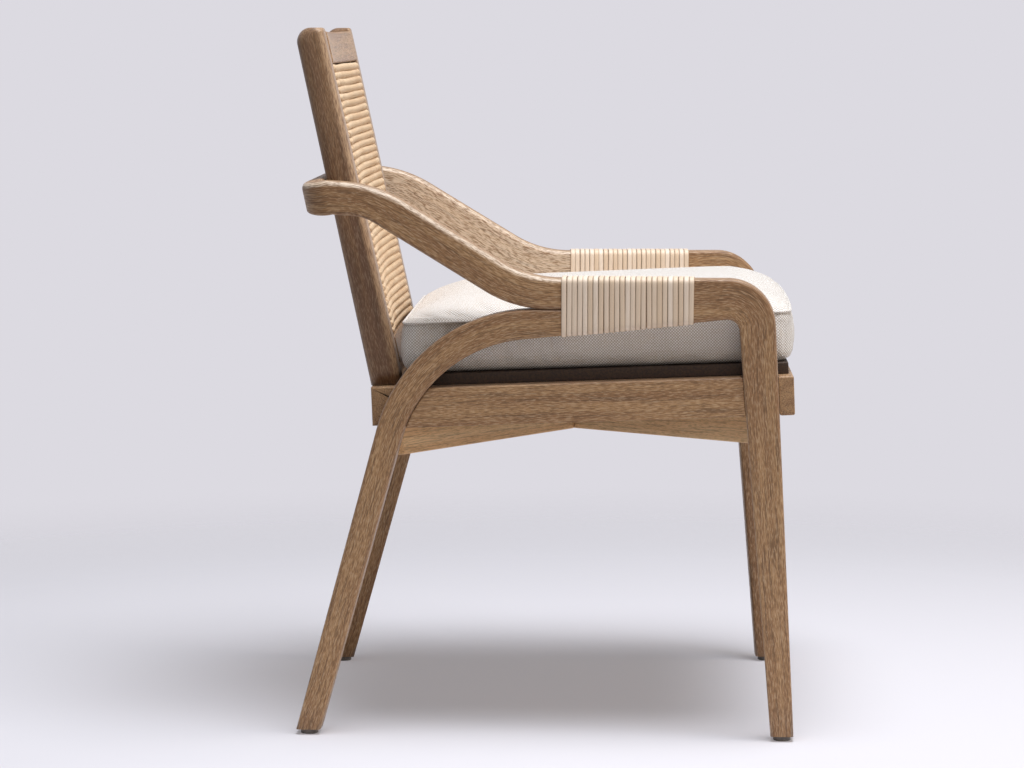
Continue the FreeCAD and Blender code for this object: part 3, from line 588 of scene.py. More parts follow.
def bend(before: Corner, here: Corner, after: Corner, steps: int) -> np.ndarray:
    """Points of the arc that rounds a corner.

    Args:
        before: Corner before it.
        here: Corner to round.
        after: Corner after it.
        steps: Steps along the arc.
    Returns:
        Points from the arc's start to its end.
    """
    back, ahead = unit(before.place - here.place), unit(after.place - here.place)
    half = math.acos(float(np.clip(back @ ahead, -1, 1))) / 2
    centre = here.place + unit(back + ahead) * here.radius / math.sin(half)
    start = here.place + back * here.radius / math.tan(half) - centre
    end = here.place + ahead * here.radius / math.tan(half) - centre
    first = math.atan2(start[1], start[0])
    sweep = math.atan2(start[0] * end[1] - start[1] * end[0], start @ end)
    angles = first + sweep * np.linspace(0, 1, steps + 1)
    return centre + here.radius * np.column_stack((np.cos(angles), np.sin(angles)))


def bent_line(corners: Sequence[Corner], straight_steps: int, bend_steps: int) -> np.ndarray:
    """Points of an open line with rounded corners.

    Args:
        corners: Ends and corners of the line.
        straight_steps: Steps along each straight stretch.
        bend_steps: Steps along each arc.
    Returns:
        Points as rows.
    """
    runs = [corners[0].place[None]]
    for before, here, after in zip(corners, corners[1:], corners[2:]):
        arc = bend(before, here, after, bend_steps)
        runs += [straight(runs[-1][-1], arc[0], straight_steps), arc]
    last = corners[-1].place
    runs += [straight(runs[-1][-1], last, straight_steps), last[None]]
    return np.vstack(runs)


def bent_loop(corners: Sequence[Corner], straight_steps: int, bend_steps: int) -> np.ndarray:
    """Points of a closed outline with rounded corners.

    Args:
        corners: Corners of the outline.
        straight_steps: Steps along each straight stretch.
        bend_steps: Steps along each arc.
    Returns:
        Points as rows.
    """
    runs = []
    for index, here in enumerate(corners):
        arc = bend(corners[index - 1], here, corners[(index + 1) % len(corners)], bend_steps)
        if runs:
            runs.append(straight(runs[-1][-1], arc[0], straight_steps))
        runs.append(arc)
    runs.append(straight(runs[-1][-1], runs[0][0], straight_steps))
    return np.vstack(runs)


def outward_normals(loop: np.ndarray) -> np.ndarray:
    """Outward direction at each point of a closed outline that runs clockwise."""
    ahead = np.roll(loop, -1, axis=0) - np.roll(loop, 1, axis=0)
    return np.column_stack((-ahead[:, 1], ahead[:, 0])) / np.linalg.norm(ahead, axis=1)[:, None]


def run_lengths(points: np.ndarray) -> np.ndarray:
    """Distance along a line at each of its points."""
    steps = np.linalg.norm(np.diff(points, axis=0), axis=1)
    return np.concatenate(([0.0], np.cumsum(steps)))


def mesh_piece(name: str, points: np.ndarray, faces: Sequence[Sequence[int]]) -> bpy.types.Object:
    """Make a smooth-shaded piece with its faces turned outwards.

    Args:
        name: Name of the piece.
        points: Points in metres, as rows.
        faces: Point numbers of each face.
    Returns:
        The piece.
    """
    mesh = bpy.data.meshes.new(name)
    mesh.from_pydata(points.tolist(), [], [list(map(int, face)) for face in faces])
    work = bmesh.new()
    work.from_mesh(mesh)
    bmesh.ops.recalc_face_normals(work, faces=work.faces)
    work.to_mesh(mesh)
    work.free()
    mesh.shade_smooth()
    piece = bpy.data.objects.new(name, mesh)
    bpy.context.scene.collection.objects.link(piece)
    return piece


def keep_field(piece: bpy.types.Object, name: str, values: np.ndarray) -> None:
    """Keep a number or a vector for each point of a piece, for its material.

    Args:
        piece: Piece that keeps them.
        name: Name of the field.
        values: One row or number for each point.
    """
    kind, key = ("FLOAT_VECTOR", "vector") if values.ndim == 2 else ("FLOAT", "value")
    store = piece.data.attributes.new(name, kind, "POINT")
    store.data.foreach_set(key, np.ascontiguousarray(values, np.float32).ravel())


def ring_faces(rings: int, around: int, closed: bool, offset: int = 0) -> list[list[int]]:
    """Faces between rings of points, with end caps where the run is open.

    Args:
        rings: Number of rings.
        around: Points in each ring.
        closed: Whether the last ring joins the first.
        offset: Number of the first point.
    Returns:
        Point numbers of each face.
    """
    numbers = offset + np.arange(rings * around).reshape(rings, around)
    following = np.roll(numbers, -1, axis=0)
    if not closed:
        numbers, following = numbers[:-1], following[:-1]
    corners = (numbers, np.roll(numbers, -1, 1), np.roll(following, -1, 1), following)
    faces = np.stack(corners, axis=-1).reshape(-1, 4).tolist()
    if not closed:
        last = offset + (rings - 1) * around
        faces.append(list(range(offset, offset + around)))
        faces.append(list(range(last, last + around)))
    return faces


def rounded_section(half_side: float, half_rise: float, radii: Sequence[float]) -> np.ndarray:
    """Points round a rectangle with rounded corners.

    Args:
        half_side: Half of its size along its side direction.
        half_rise: Half of its size along its rise direction.
        radii: Radius of each corner, in the order of CORNER_SIGNS.
    Returns:
        Points as rows of side and rise.
    """
    quarter = np.linspace(0, math.pi / 2, CORNER_STEPS + 1)
    points = []
    for turn, (signs, radius) in enumerate(zip(CORNER_SIGNS, radii)):
        limited = min(radius, MOST_ROUND * half_side, MOST_ROUND * half_rise)
        centre = np.array(signs) * (half_side - limited, half_rise - limited)
        angles = quarter + turn * math.pi / 2
        points.append(centre + limited * np.column_stack((np.cos(angles), np.sin(angles))))
    return np.vstack(points)


@dataclass
class Sweep:
    """Member with a rounded rectangular section, swept along its middle line, in metres.

    Its radii are millimetres. They and the paler share of its corners, partly wear and partly painted
    highlight, follow CORNER_SIGNS, and each face with painted light is the one after its corner.
    """

    name: str
    middles: np.ndarray
    sides: np.ndarray
    rises: np.ndarray
    radii: Sequence[float]
    wear_and_highlight: Sequence[float] = (0.12, 0.12, 0.12, 0.12)
    painted_lit_faces: Sequence[float] = (0.0, 0.0, 0.0, 0.0)

    def build(self, grain_offset: float) -> bpy.types.Object:
        """Make the member's mesh and its grain.

        Args:
            grain_offset: Where along an endless board the member was cut, in metres.
        Returns:
            The member.
        """
        along = run_lengths(self.middles)
        radii = [radius * MM for radius in self.radii]
        rings, grain = [], []
        for middle, side, rise, length in zip(self.middles, self.sides, self.rises, along):
            half_side, half_rise = np.linalg.norm(side), np.linalg.norm(rise)
            section = rounded_section(half_side, half_rise, radii)
            rings.append(middle + section[:, :1] * side / half_side + section[:, 1:] * rise / half_rise)
            lengths = np.full(len(section), length + grain_offset)
            grain.append(np.column_stack((lengths, section[:, 0] + grain_offset, section[:, 1])))
        around = len(rings[0])
        piece = mesh_piece(self.name, np.vstack(rings), ring_faces(len(rings), around, False))
        # Paler share round each ring: wear, painted highlight on the corners and painted light on the faces
        # that the lamp catches
        on_arc = np.sin(np.linspace(0, math.pi, CORNER_STEPS + 1))
        to_face = np.linspace(0, 1, CORNER_STEPS + 1)
        after, before = np.outer(self.painted_lit_faces, to_face), np.outer(self.painted_lit_faces, to_face[::-1])
        wear = np.maximum.reduce((np.outer(self.wear_and_highlight, on_arc), after, np.roll(before, 1, axis=0)))
        keep_field(piece, "grain", np.vstack(grain))
        keep_field(piece, "arris", np.tile(wear.ravel(), len(rings)))
        even = piece.modifiers.new("even_shading", "WEIGHTED_NORMAL")
        even.keep_sharp = True
        return piece


def place_piece(
    piece: bpy.types.Object, body: Body, finish: Finish, nodes: Sequence[str] = ()
) -> None:
    """Dress a new piece, hide the CAD nodes that it stands for and set it on its body.

    Args:
        piece: Piece to place.
        body: Body that it rides on.
        finish: Finish to dress it in.
        nodes: CAD nodes that it stands for.
    """
    finish.dress(piece)
    if nodes:
        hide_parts(*nodes)
    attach(piece, body.value)
    LOG.info("%s: %d faces on %s", piece.name, len(piece.data.polygons), body.value)


def dress_node(name: str, finish: Finish, edge: float) -> None:
    """Finish a carried-over CAD node and soften its edges.

    Args:
        name: Name of the node.
        finish: Finish to dress it in.
        edge: Radius of its softened edges, in millimetres.
    """
    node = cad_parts[name]
    places = np.empty(len(node.data.vertices) * 3)
    node.data.vertices.foreach_get("co", places)
    places = places.reshape(-1, 3)
    length_way = np.linalg.svd(places - places.mean(0), full_matrices=False)[2][0]
    finish.dress(node, Vector(length_way))
    weld = node.modifiers.new("joined_corners", "WELD")
    weld.merge_threshold = WELD_GAP * MM
    soften = node.modifiers.new("soft_edges", "BEVEL")
    soften.width = edge * MM
    soften.segments = EDGE_SEGMENTS
    soften.limit_method = "ANGLE"
    soften.angle_limit = math.radians(EDGE_ANGLE)
    soften.use_clamp_overlap = False
    node.data.shade_smooth()
    even = node.modifiers.new("even_shading", "WEIGHTED_NORMAL")
    even.keep_sharp = True
    LOG.info("%s: carried over in %s", name, finish.name)


@dataclass(frozen=True)
class ChairSizes:
    """Sizes that several sub-assemblies share, in millimetres and degrees."""

    overall_width: float = 571.5
    overall_depth: float = 609.6
    overall_height: float = 863.6
    side_toe: float = 2.33
    member_thickness: float = 32.0
    arm_height: float = 563.0
    arm_front_depth: float = 37.7
    front_foot_width: float = 28.0
    front_rake: float = 28.0
    knee_width: float = 42.0
    knee_depth: float = 47.5
    rear_foot_width: float = 29.8
    rear_rake: float = 140.3
    rear_bend_width: float = 21.0
    rear_bend_depth: float = 48.8
    glide_height: float = 6.5
    wrap_front: float = -183.0
    wrap_length: float = 163.5
    seat_tilt: float = 2.3
    rail_top_height: float = 434.6
    rail_depth: float = 47.5
    rear_rail_overlap: float = 21.5
    front_rail_thickness: float = 20.0
    rail_housing: float = 2.5
    deck_thickness: float = 14.0
    back_lean: float = 12.43
    stile_foot_depth: float = 39.5
    stile_top_depth: float = 36.5
    stile_width: float = 34.0
    stile_arm_gap: float = 13.0
    arm_rise: float = 118.5
    arm_corner_radius: float = 4.0
    arm_edges: Sequence[float] = (8.0, 8.0, 3.5, 4.0)
    band_drop: float = 18.5
    band_thickness: float = 29.0
    band_depth: float = 38.0

    @property
    def toe(self) -> float:
        """Toe of the side frames in radians."""
        return math.radians(self.side_toe)

    @property
    def half_member(self) -> float:
        """Half the thickness of a side frame."""
        return self.member_thickness / 2

    @property
    def half_run(self) -> float:
        """Half the length of a side frame in its own plane."""
        return (self.overall_depth / 2 - self.half_member * math.sin(self.toe)) / math.cos(self.toe)

    @property
    def mid_half_width(self) -> float:
        """Distance of a side frame's middle plane from the middle of the chair, at depth 0."""
        inset = self.half_member * math.cos(self.toe) + self.half_run * math.sin(self.toe)
        return self.overall_width / 2 - inset

    @property
    def seam_height(self) -> float:
        """Height of the seam between arm and rear leg."""
        return self.arm_height - self.arm_front_depth

    @property
    def joint_depth(self) -> float:
        """Depth of the joint of arm and legs under the binding."""
        return self.wrap_front + self.wrap_length / 2

    @property
    def knee_inner(self) -> Corner:
        """Inner corner of the front knee."""
        depth = -self.half_run + self.front_rake + self.knee_width
        return Corner(depth, self.arm_height - self.knee_depth)

    @property
    def rear_bend_outer(self) -> Corner:
        """Outer corner of the rear leg's bend."""
        return Corner(self.half_run - self.rear_rake, self.seam_height)

    @property
    def rear_bend_inner(self) -> Corner:
        """Inner corner of the rear leg's bend."""
        outer = self.rear_bend_outer
        return Corner(outer.first - self.rear_bend_width, self.seam_height - self.rear_bend_depth)

    @property
    def back_foot(self) -> float:
        """Depth of the front of the back's foot on the rear rail.

        Returns:
            Depth in millimetres.
        """
        outer = self.rear_bend_outer
        middle = self.rail_top(outer.first) - self.rail_depth / 2
        share = (middle - self.glide_height) / (outer.second - self.glide_height)
        return self.half_run - share * self.rear_rake - self.rear_rail_overlap

    @property
    def stile_back_lean(self) -> float:
        """Lean of the stiles' back face.

        Returns:
            Degrees from the upright.
        """
        foot = self.back_foot + self.stile_foot_depth
        rise = self.overall_height - self.rail_top(self.back_foot)
        top = self.back_foot + rise * math.tan(math.radians(self.back_lean)) + self.stile_top_depth
        return math.degrees(math.atan2(top - foot, self.overall_height - self.rail_top(foot)))

    @property
    def half_back(self) -> float:
        """Half the width of the back over its stiles."""
        return self.half_width_at(self.half_run, self.half_member) - self.stile_arm_gap

    @property
    def arm_rear_height(self) -> float:
        """Height of the arm's top at the rear."""
        return self.arm_height + self.arm_rise

    @property
    def band_origin(self) -> np.ndarray:
        """Middle of the band's front face."""
        height = self.arm_rear_height - self.band_drop
        return np.array((0.0, self.stile_back_depth(height), height))

    def half_width_at(self, depth: float | np.ndarray, inset: float) -> float | np.ndarray:
        """Distance from the middle to a side frame's middle plane at a depth, less an inset."""
        return self.mid_half_width - depth * math.tan(self.toe) - inset / math.cos(self.toe)

    def rail_top(self, depth: float) -> float:
        """Height of the seat frame's top face at a depth."""
        return self.rail_top_height - math.tan(math.radians(self.seat_tilt)) * depth

    def underside(self, depth: float) -> float:
        """Height of the line under the arm.

        Args:
            depth: Depth along the side frame.
        Returns:
            Height of the line there.
        """
        knee, rear = self.knee_inner, self.rear_bend_inner
        share = (depth - knee.first) / (rear.first - knee.first)
        return knee.second + share * (rear.second - knee.second)

    def stile_back_depth(self, height: float) -> float:
        """Depth of the stiles' back face at a height."""
        foot = self.back_foot + self.stile_foot_depth
        return foot + (height - self.rail_top(foot)) * math.tan(math.radians(self.stile_back_lean))

    def seated(self, points: np.ndarray) -> np.ndarray:
        """Tilt level seat points, with the rails' top at height 0, into the chair, in metres.

        Args:
            points: Rows of across, depth and height in millimetres.
        Returns:
            Rows of X, Y and Z in metres.
        """
        tilt = math.radians(self.seat_tilt)
        depth = points[:, 1] * math.cos(tilt) + points[:, 2] * math.sin(tilt)
        height = points[:, 2] * math.cos(tilt) - points[:, 1] * math.sin(tilt)
        return np.column_stack((points[:, 0], depth, height + self.rail_top_height)) * MM


@dataclass
class SideFrame:
    """Front leg, rear leg and arm of one side, and the strip bound round their joint."""

    side: Side
    sizes: ChairSizes
    knee_outer_radius: float = 58.0
    knee_inner_radius: float = 14.0
    rear_bend_outer_radius: float = 200.0
    rear_bend_inner_radius: float = 172.0
    arm_slope: float = 31.4
    arm_slope_start: float = 19.5
    arm_slope_depth: float = 40.8
    arm_rear_depth: float = 41.0
    arm_rear_tilt: float = 3.5
    arm_low_top_radius: float = 140.0
    arm_low_under_radius: float = 150.0
    arm_high_top_radius: float = 170.0
    arm_high_under_radius: float = 60.0
    leg_edges: Sequence[float] = (4.0, 4.0, 4.0, 4.0)
    # Top edges pale as painted highlight, the inner face pale as painted light, the lower edges a little
    # worn
    arm_wear_and_highlight: Sequence[float] = (1.0, 1.0, 0.2, 0.2)
    arm_painted_lit_faces: Sequence[float] = (0.0, 0.8, 0.0, 0.0)
    strip_pitch: float = 6.4
    strip_width: float = 5.8
    strip_thickness: float = 1.6
    strip_clearance: float = 0.25
    strip_corner: float = 6.0
    strip_width_spread: Sequence[float] = (0.94, 1.02)
    strip_thickness_spread: Sequence[float] = (0.85, 1.1)
    strip_shift: float = 0.25
    strip_skew: float = 0.5
    strip_steps: Sequence[int] = (10, 6)
    strip_across: Sequence[float] = (-1.0, -0.9, -0.45, 0.0, 0.45, 0.9, 1.0, 0.5, -0.5)
    strip_lift: Sequence[float] = (0.5, 0.88, 0.98, 1.0, 0.98, 0.88, 0.5, 0.0, 0.0)
    straight_steps: int = 12
    bend_steps: int = 22

    def placed(self, across: np.ndarray | float, line: np.ndarray) -> np.ndarray:
        """Stand side-plane points in this side of the chair.

        Args:
            across: Distance from the side's middle plane, inwards.
            line: Rows of depth and height.
        Returns:
            Rows of X, Y and Z in metres.
        """
        toe = self.sizes.toe
        x = across * math.cos(toe) + line[:, 0] * math.sin(toe) - self.sizes.mid_half_width
        y = line[:, 0] * math.cos(toe) - across * math.sin(toe)
        return np.column_stack((-self.side.value * x, y, line[:, 1])) * MM

    @property
    def outward(self) -> np.ndarray:
        """Direction out of the side."""
        toe = self.sizes.toe
        return np.array((self.side.value * math.cos(toe), math.sin(toe), 0.0))

    def member(self, name: str, over: np.ndarray, under: np.ndarray, edges: Sequence[float]) -> Sweep:
        """Sweep between a member's outer and inner edge lines.

        Args:
            name: Name of the member.
            over: Rows of depth and height of its outer or upper edge.
            under: Rows of its inner or lower edge, matched one to one.
            edges: Radii of its long edges.
        Returns:
            The sweep.
        """
        upper, lower = self.placed(0.0, over), self.placed(0.0, under)
        sides = np.tile(self.outward * self.sizes.half_member * MM, (len(over), 1))
        middles, rises = (upper + lower) / 2, (upper - lower) / 2
        return Sweep(f"oak_{name}_{self.side.word}", middles, sides, rises, edges)

    def line(self, *corners: Corner) -> np.ndarray:
        """Edge line through corners, in this side's steps."""
        return bent_line(corners, self.straight_steps, self.bend_steps)

    def front_leg(self) -> Sweep:
        """Front leg, knee and front stub of the arm.

        Returns:
            The sweep, from the foot up.
        """
        chair = self.sizes
        knee = chair.knee_inner
        over = self.line(
            Corner(-chair.half_run, chair.glide_height),
            Corner(-chair.half_run + chair.front_rake, chair.arm_height, self.knee_outer_radius),
            Corner(chair.joint_depth, chair.arm_height),
        )
        under = self.line(
            Corner(-chair.half_run + chair.front_foot_width, chair.glide_height),
            Corner(knee.first, knee.second, self.knee_inner_radius),
            Corner(chair.joint_depth, chair.underside(chair.joint_depth)),
        )
        return self.member("front_leg", over, under, self.leg_edges)

    def rear_leg(self) -> Sweep:
        """Rear leg with its long bend up to the joint.

        Returns:
            The sweep, from the foot up.
        """
        chair = self.sizes
        outer, inner = chair.rear_bend_outer, chair.rear_bend_inner
        over = self.line(
            Corner(chair.half_run, chair.glide_height),
            Corner(outer.first, outer.second, self.rear_bend_outer_radius),
            Corner(chair.joint_depth, chair.seam_height),
        )
        under = self.line(
            Corner(chair.half_run - chair.rear_foot_width, chair.glide_height),
            Corner(inner.first, inner.second, self.rear_bend_inner_radius),
            Corner(chair.joint_depth, chair.underside(chair.joint_depth)),
        )
        return self.member("rear_leg", over, under, self.leg_edges)

    def high_bend(self, start: float, turn: Corner, radius: float) -> Corner:
        """Corner where a line up the arm's slope meets the line of its rear.

        Args:
            start: Height of the sloping line where the slope starts.
            turn: End of the rear line, at the arm's rear corner.
            radius: Rounding of the corner.
        Returns:
            The corner.
        """
        slope, tilt = math.tan(math.radians(self.arm_slope)), math.tan(math.radians(self.arm_rear_tilt))
        depth = (turn.second - start + slope * self.arm_slope_start - tilt * turn.first) / (slope - tilt)
        return Corner(depth, turn.second + tilt * (depth - turn.first), radius)

    def arm(self) -> Sweep:
        """Arm from the joint, up the slope and round the rear corner to the band.

        Returns:
            The sweep, from the joint back.
        """
        chair = self.sizes
        angle = math.radians(self.arm_slope)
        lean = math.tan(math.radians(chair.stile_back_lean))
        dip = chair.band_thickness * math.tan(math.radians(self.arm_rear_tilt))
        top_height = chair.arm_rear_height
        turn_depth = chair.stile_back_depth(top_height) - chair.arm_corner_radius
        top_turn = Corner(turn_depth, top_height - dip)
        low_turn = Corner(turn_depth - self.arm_rear_depth * lean, top_height - self.arm_rear_depth - dip)
        under_start = chair.arm_height - self.arm_slope_depth / math.cos(angle)
        under_foot = self.arm_slope_start + (chair.seam_height - under_start) / math.tan(angle)
        over = self.line(
            Corner(chair.joint_depth, chair.arm_height),
            Corner(self.arm_slope_start, chair.arm_height, self.arm_low_top_radius),
            self.high_bend(chair.arm_height, top_turn, self.arm_high_top_radius),
            top_turn,
        )
        under = self.line(
            Corner(chair.joint_depth, chair.seam_height),
            Corner(under_foot, chair.seam_height, self.arm_low_under_radius),
            self.high_bend(under_start, low_turn, self.arm_high_under_radius),
            low_turn,
        )
        arm = self.turned_to_band(self.member("arm", over, under, chair.arm_edges))
        arm.wear_and_highlight, arm.painted_lit_faces = self.arm_wear_and_highlight, self.arm_painted_lit_faces
        return arm

    def turned_to_band(self, sweep: Sweep) -> Sweep:
        """Carry an arm on round its rear corner to the start of the band.

        Args:
            sweep: Arm up to the corner.
        Returns:
            Arm with its corner.
        """
        chair = self.sizes
        rearward, upward = leaning(chair.stile_back_lean)
        inward = np.array((-self.side.value, 0.0, 0.0))
        origin = chair.band_origin * MM
        inner = chair.arm_corner_radius
        end_middle = sweep.middles[-1] / MM
        half_width = chair.half_width_at(end_middle[1], chair.half_member) - inner
        pivot = np.array((self.side.value * half_width, 0.0, 0.0)) * MM + origin - rearward * inner * MM
        lift = float((sweep.middles[-1] - origin) @ upward)
        end_half_rise = float(np.linalg.norm(sweep.rises[-1]))
        middles, sides, rises = [sweep.middles], [sweep.sides], [sweep.rises]
        for share in np.linspace(0, 1, self.bend_steps + 1)[1:]:
            angle = chair.toe + share * (math.pi / 2 - chair.toe)
            ease = share * share * (3 - 2 * share)
            out = -inward * math.cos(angle) + rearward * math.sin(angle)
            wall = (1 - ease) * chair.member_thickness + ease * chair.band_thickness
            rise = upward * ((1 - ease) * end_half_rise + ease * chair.band_depth / 2 * MM)
            middles.append((pivot + out * (inner + wall / 2) * MM + upward * lift * (1 - ease))[None])
            sides.append((out * wall / 2 * MM)[None])
            rises.append(rise[None])
        return Sweep(sweep.name, np.vstack(middles), np.vstack(sides), np.vstack(rises), sweep.radii)

    def binding(self, draws: np.random.Generator) -> bpy.types.Object:
        """Turns of flat strip round the joint of arm and legs.

        Args:
            draws: Source of the small differences between turns.
        Returns:
            The binding.
        """
        chair = self.sizes
        turns = int(chair.wrap_length // self.strip_pitch)
        first = chair.wrap_front + (chair.wrap_length - (turns - 1) * self.strip_pitch) / 2
        half, high = chair.half_member + self.strip_clearance, chair.arm_height + self.strip_clearance
        across, lift = np.array(self.strip_across), np.array(self.strip_lift)
        points, strip, faces = [], [], []
        for turn in range(turns):
            wide = self.strip_pitch / 2 * draws.uniform(*self.strip_width_spread)
            thick = self.strip_thickness * draws.uniform(*self.strip_thickness_spread)
            shift = draws.uniform(-self.strip_shift, self.strip_shift)
            skew = draws.uniform(-self.strip_skew, self.strip_skew)
            middle = first + turn * self.strip_pitch + shift
            low = chair.underside(middle + self.strip_width / 2) - self.strip_clearance
            corners = ((-half, low), (half, low), (half, high), (-half, high))
            path = bent_loop([Corner(*place, self.strip_corner) for place in corners], *self.strip_steps)
            lean = skew * (path[:, 1] - path.mean(0)[1]) / (high - low)
            faces += ring_faces(len(path), len(across), True, len(points) * len(across))
            for spot, inward, length, slant in zip(path, outward_normals(path), run_lengths(path), lean):
                reach = spot - inward * (lift * thick)[:, None]
                depth = middle + slant + across * wide
                points.append(self.placed(reach[:, 0], np.column_stack((depth, reach[:, 1]))))
                lengths = np.full(len(across), length * MM)
                strip.append(np.column_stack((lengths, across * wide * MM, np.full(len(across), turn))))
        piece = mesh_piece(f"strip_binding_{self.side.word}", np.vstack(points), faces)
        keep_field(piece, "strip", np.vstack(strip))
        return piece

    def build(self, draws: np.random.Generator) -> None:
        """Make and place the side's members and binding.

        Args:
            draws: Source of the small differences between pieces.
        """
        members = {"front_leg": self.front_leg(), "rear_leg": self.rear_leg(), "arm": self.arm()}
        for node, sweep in members.items():
            piece = sweep.build(draws.uniform(0, BOARD_LENGTH))
            place_piece(piece, Body.FRAME, OAK, [f"{node}_{self.side.word}"])
        binding = self.binding(draws)
        place_piece(binding, Body.FRAME, STRIP, [f"arm_wrap_{self.side.word}"])


@dataclass
class Back:
    """Stiles, rope weave and rails of the back, and the band that joins the arms behind it."""

    sizes: ChairSizes
    stile_top_front_radius: float = 4.0
    stile_top_rear_radius: float = 17.0
    stile_edges: Sequence[float] = (10.0, 3.5, 8.0, 15.0)
    # Front edges and front face pale as painted light from the front, the rear edges a little worn
    stile_wear_and_highlight: Sequence[float] = (0.9, 0.9, 0.1, 0.05)
    stile_painted_lit_faces: Sequence[float] = (0.75, 0.0, 0.0, 0.0)
    stile_top_round: float = 5.0
    stile_crest: float = 4.0
    stile_crest_gap: float = 1.0
    stile_steps: Sequence[int] = (24, 12)
    band_shy: float = 0.2
    band_rings: int = 30
    top_rail_depth: float = 40.0
    top_rail_drop: float = 4.0
    bottom_rail_depth: float = 34.0
    bottom_rail_rise: float = 24.0
    back_hollow: float = 6.0
    weave_proud: float = 2.0
    rope_diameter: float = 8.7
    rope_pitch: float = 9.2
    rope_clearance: float = 0.3
    stake_diameter: float = 8.0
    stake_clearance: float = 0.1
    strands: int = 2
    lay_length: float = 26.0
    rope_step: float = 2.0
    rope_around: int = 12
    rope_flatten: float = 1.16
    rope_spread: Sequence[float] = (0.97, 1.03)
    rope_wander: float = 0.45
    wander_length: float = 37.0
    lobe_depth: float = 0.18
    lobe_power: float = 0.7
    row_spacing: float = 9.0  # rope diameters between the rows in the straw's pattern
    rail_edge: float = 2.5
    plug_edge: float = 0.4
    stake_edge: float = 0.3

    def stile(self, side: Side) -> Sweep:
        """Leaning stile with its rounded top.

        Args:
            side: Side of the chair.
        Returns:
            The sweep, from the foot up.
        """
        chair = self.sizes
        foot, top = chair.back_foot, chair.overall_height
        front_top = foot + (top - chair.rail_top(foot)) * math.tan(math.radians(chair.back_lean))
        crest = front_top + self.stile_top_front_radius + self.stile_crest
        back_foot, back_top = foot + chair.stile_foot_depth, front_top + chair.stile_top_depth
        lines = []
        for low, high, radius, end in (
            (foot, front_top, self.stile_top_front_radius, crest),
            (back_foot, back_top, self.stile_top_rear_radius, crest + self.stile_crest_gap),
        ):
            corners = [Corner(low, chair.rail_top(low)), Corner(high, top, radius), Corner(end, top)]
            lines.append(bent_line(corners, *self.stile_steps))
        front, rear = lines
        centre = side.value * (chair.half_back - chair.stile_width / 2)
        across = np.full(len(front), centre)
        ahead = np.column_stack((across, front)) * MM
        behind = np.column_stack((across, rear)) * MM
        below = np.clip(self.stile_top_round - (top - np.maximum(front[:, 1], rear[:, 1])), 0, None)
        shrink = self.stile_top_round - np.sqrt(self.stile_top_round**2 - below**2)
        half = (chair.stile_width / 2 - shrink)[:, None]
        sides = np.array((side.value, 0.0, 0.0)) * half * MM
        middles, rises = (ahead + behind) / 2, (ahead - behind) / 2
        wear_and_highlight = (self.stile_wear_and_highlight, self.stile_painted_lit_faces)
        return Sweep(f"oak_stile_{side.word}", middles, sides, rises, self.stile_edges, *wear_and_highlight)

    def band(self) -> Sweep:
        """Band behind the stiles, from one arm's corner to the other's.

        Returns:
            The sweep, from right to left.
        """
        chair = self.sizes
        rearward, upward = leaning(chair.stile_back_lean)
        origin = chair.band_origin
        half_width = chair.half_width_at(origin[1], chair.half_member) - chair.arm_corner_radius
        half_wall = (chair.band_thickness - self.band_shy) / 2
        across = np.linspace(-half_width, half_width, self.band_rings)
        middles = origin + rearward * half_wall + across[:, None] * np.array((1.0, 0.0, 0.0))
        sides = np.tile(rearward * half_wall * MM, (len(across), 1))
        rises = np.tile(upward * chair.band_depth / 2 * MM, (len(across), 1))
        return Sweep("oak_band", middles * MM, sides, rises, chair.arm_edges)

    def weave(self, draws: np.random.Generator) -> bpy.types.Object:
        """Turns of twisted rope round the hollow row of stakes.

        Args:
            draws: Source of the small differences between turns.
        Returns:
            The weave.
        """
        chair = self.sizes
        path, out = self.racetrack()
        rearward, upward = leaning(chair.back_lean)
        foot = np.array((0.0, chair.back_foot, chair.rail_top(chair.back_foot)))
        around = np.linspace(0, 2 * math.pi, self.rope_around, endpoint=False)
        along = run_lengths(np.vstack((path, path[:1])))
        lays = max(1, round(along[-1] / self.lay_length))
        points, strand, crest, faces = [], [], [], []
        for turn, row in enumerate(self.rows()):
            phase, wander = draws.uniform(0, 2 * math.pi, 2)
            thick = self.rope_diameter / 2 * draws.uniform(*self.rope_spread)
            twist = 2 * math.pi * lays * along[:-1] / along[-1] + phase
            height = row + self.rope_wander * np.sin(along[:-1] / self.wander_length + wander)
            lobe = np.abs(np.cos(self.strands / 2 * (around[None] - twist[:, None])))
            reach = thick * (1 - self.lobe_depth + self.lobe_depth * lobe**self.lobe_power)
            level = path[:, None] + out[:, None] * (reach * np.cos(around))[..., None]
            raised = height[:, None] + self.rope_flatten * reach * np.sin(around)
            flat = np.stack((level[..., 0], np.zeros_like(raised), np.zeros_like(raised)), -1)
            place = foot + flat + level[..., 1:] * rearward + raised[..., None] * upward
            faces += ring_faces(len(path), self.rope_around, True, turn * raised.size)
            points.append(place.reshape(-1, 3) * MM)
            crest.append(lobe.ravel())
            lengths = np.broadcast_to(along[:-1, None], raised.shape)
            fibre = thick * (around[None] - twist[:, None])
            apart = np.full(raised.shape, turn * self.rope_diameter * self.row_spacing)
            strand.append(np.stack((lengths, fibre, apart), -1).reshape(-1, 3) * MM)
        piece = mesh_piece("rope_panel", np.vstack(points), faces)
        keep_field(piece, "strand", np.vstack(strand))
        # Crest height of the strands' lobes, which paints shade in the lays
        keep_field(piece, "crest", np.concatenate(crest))
        return piece

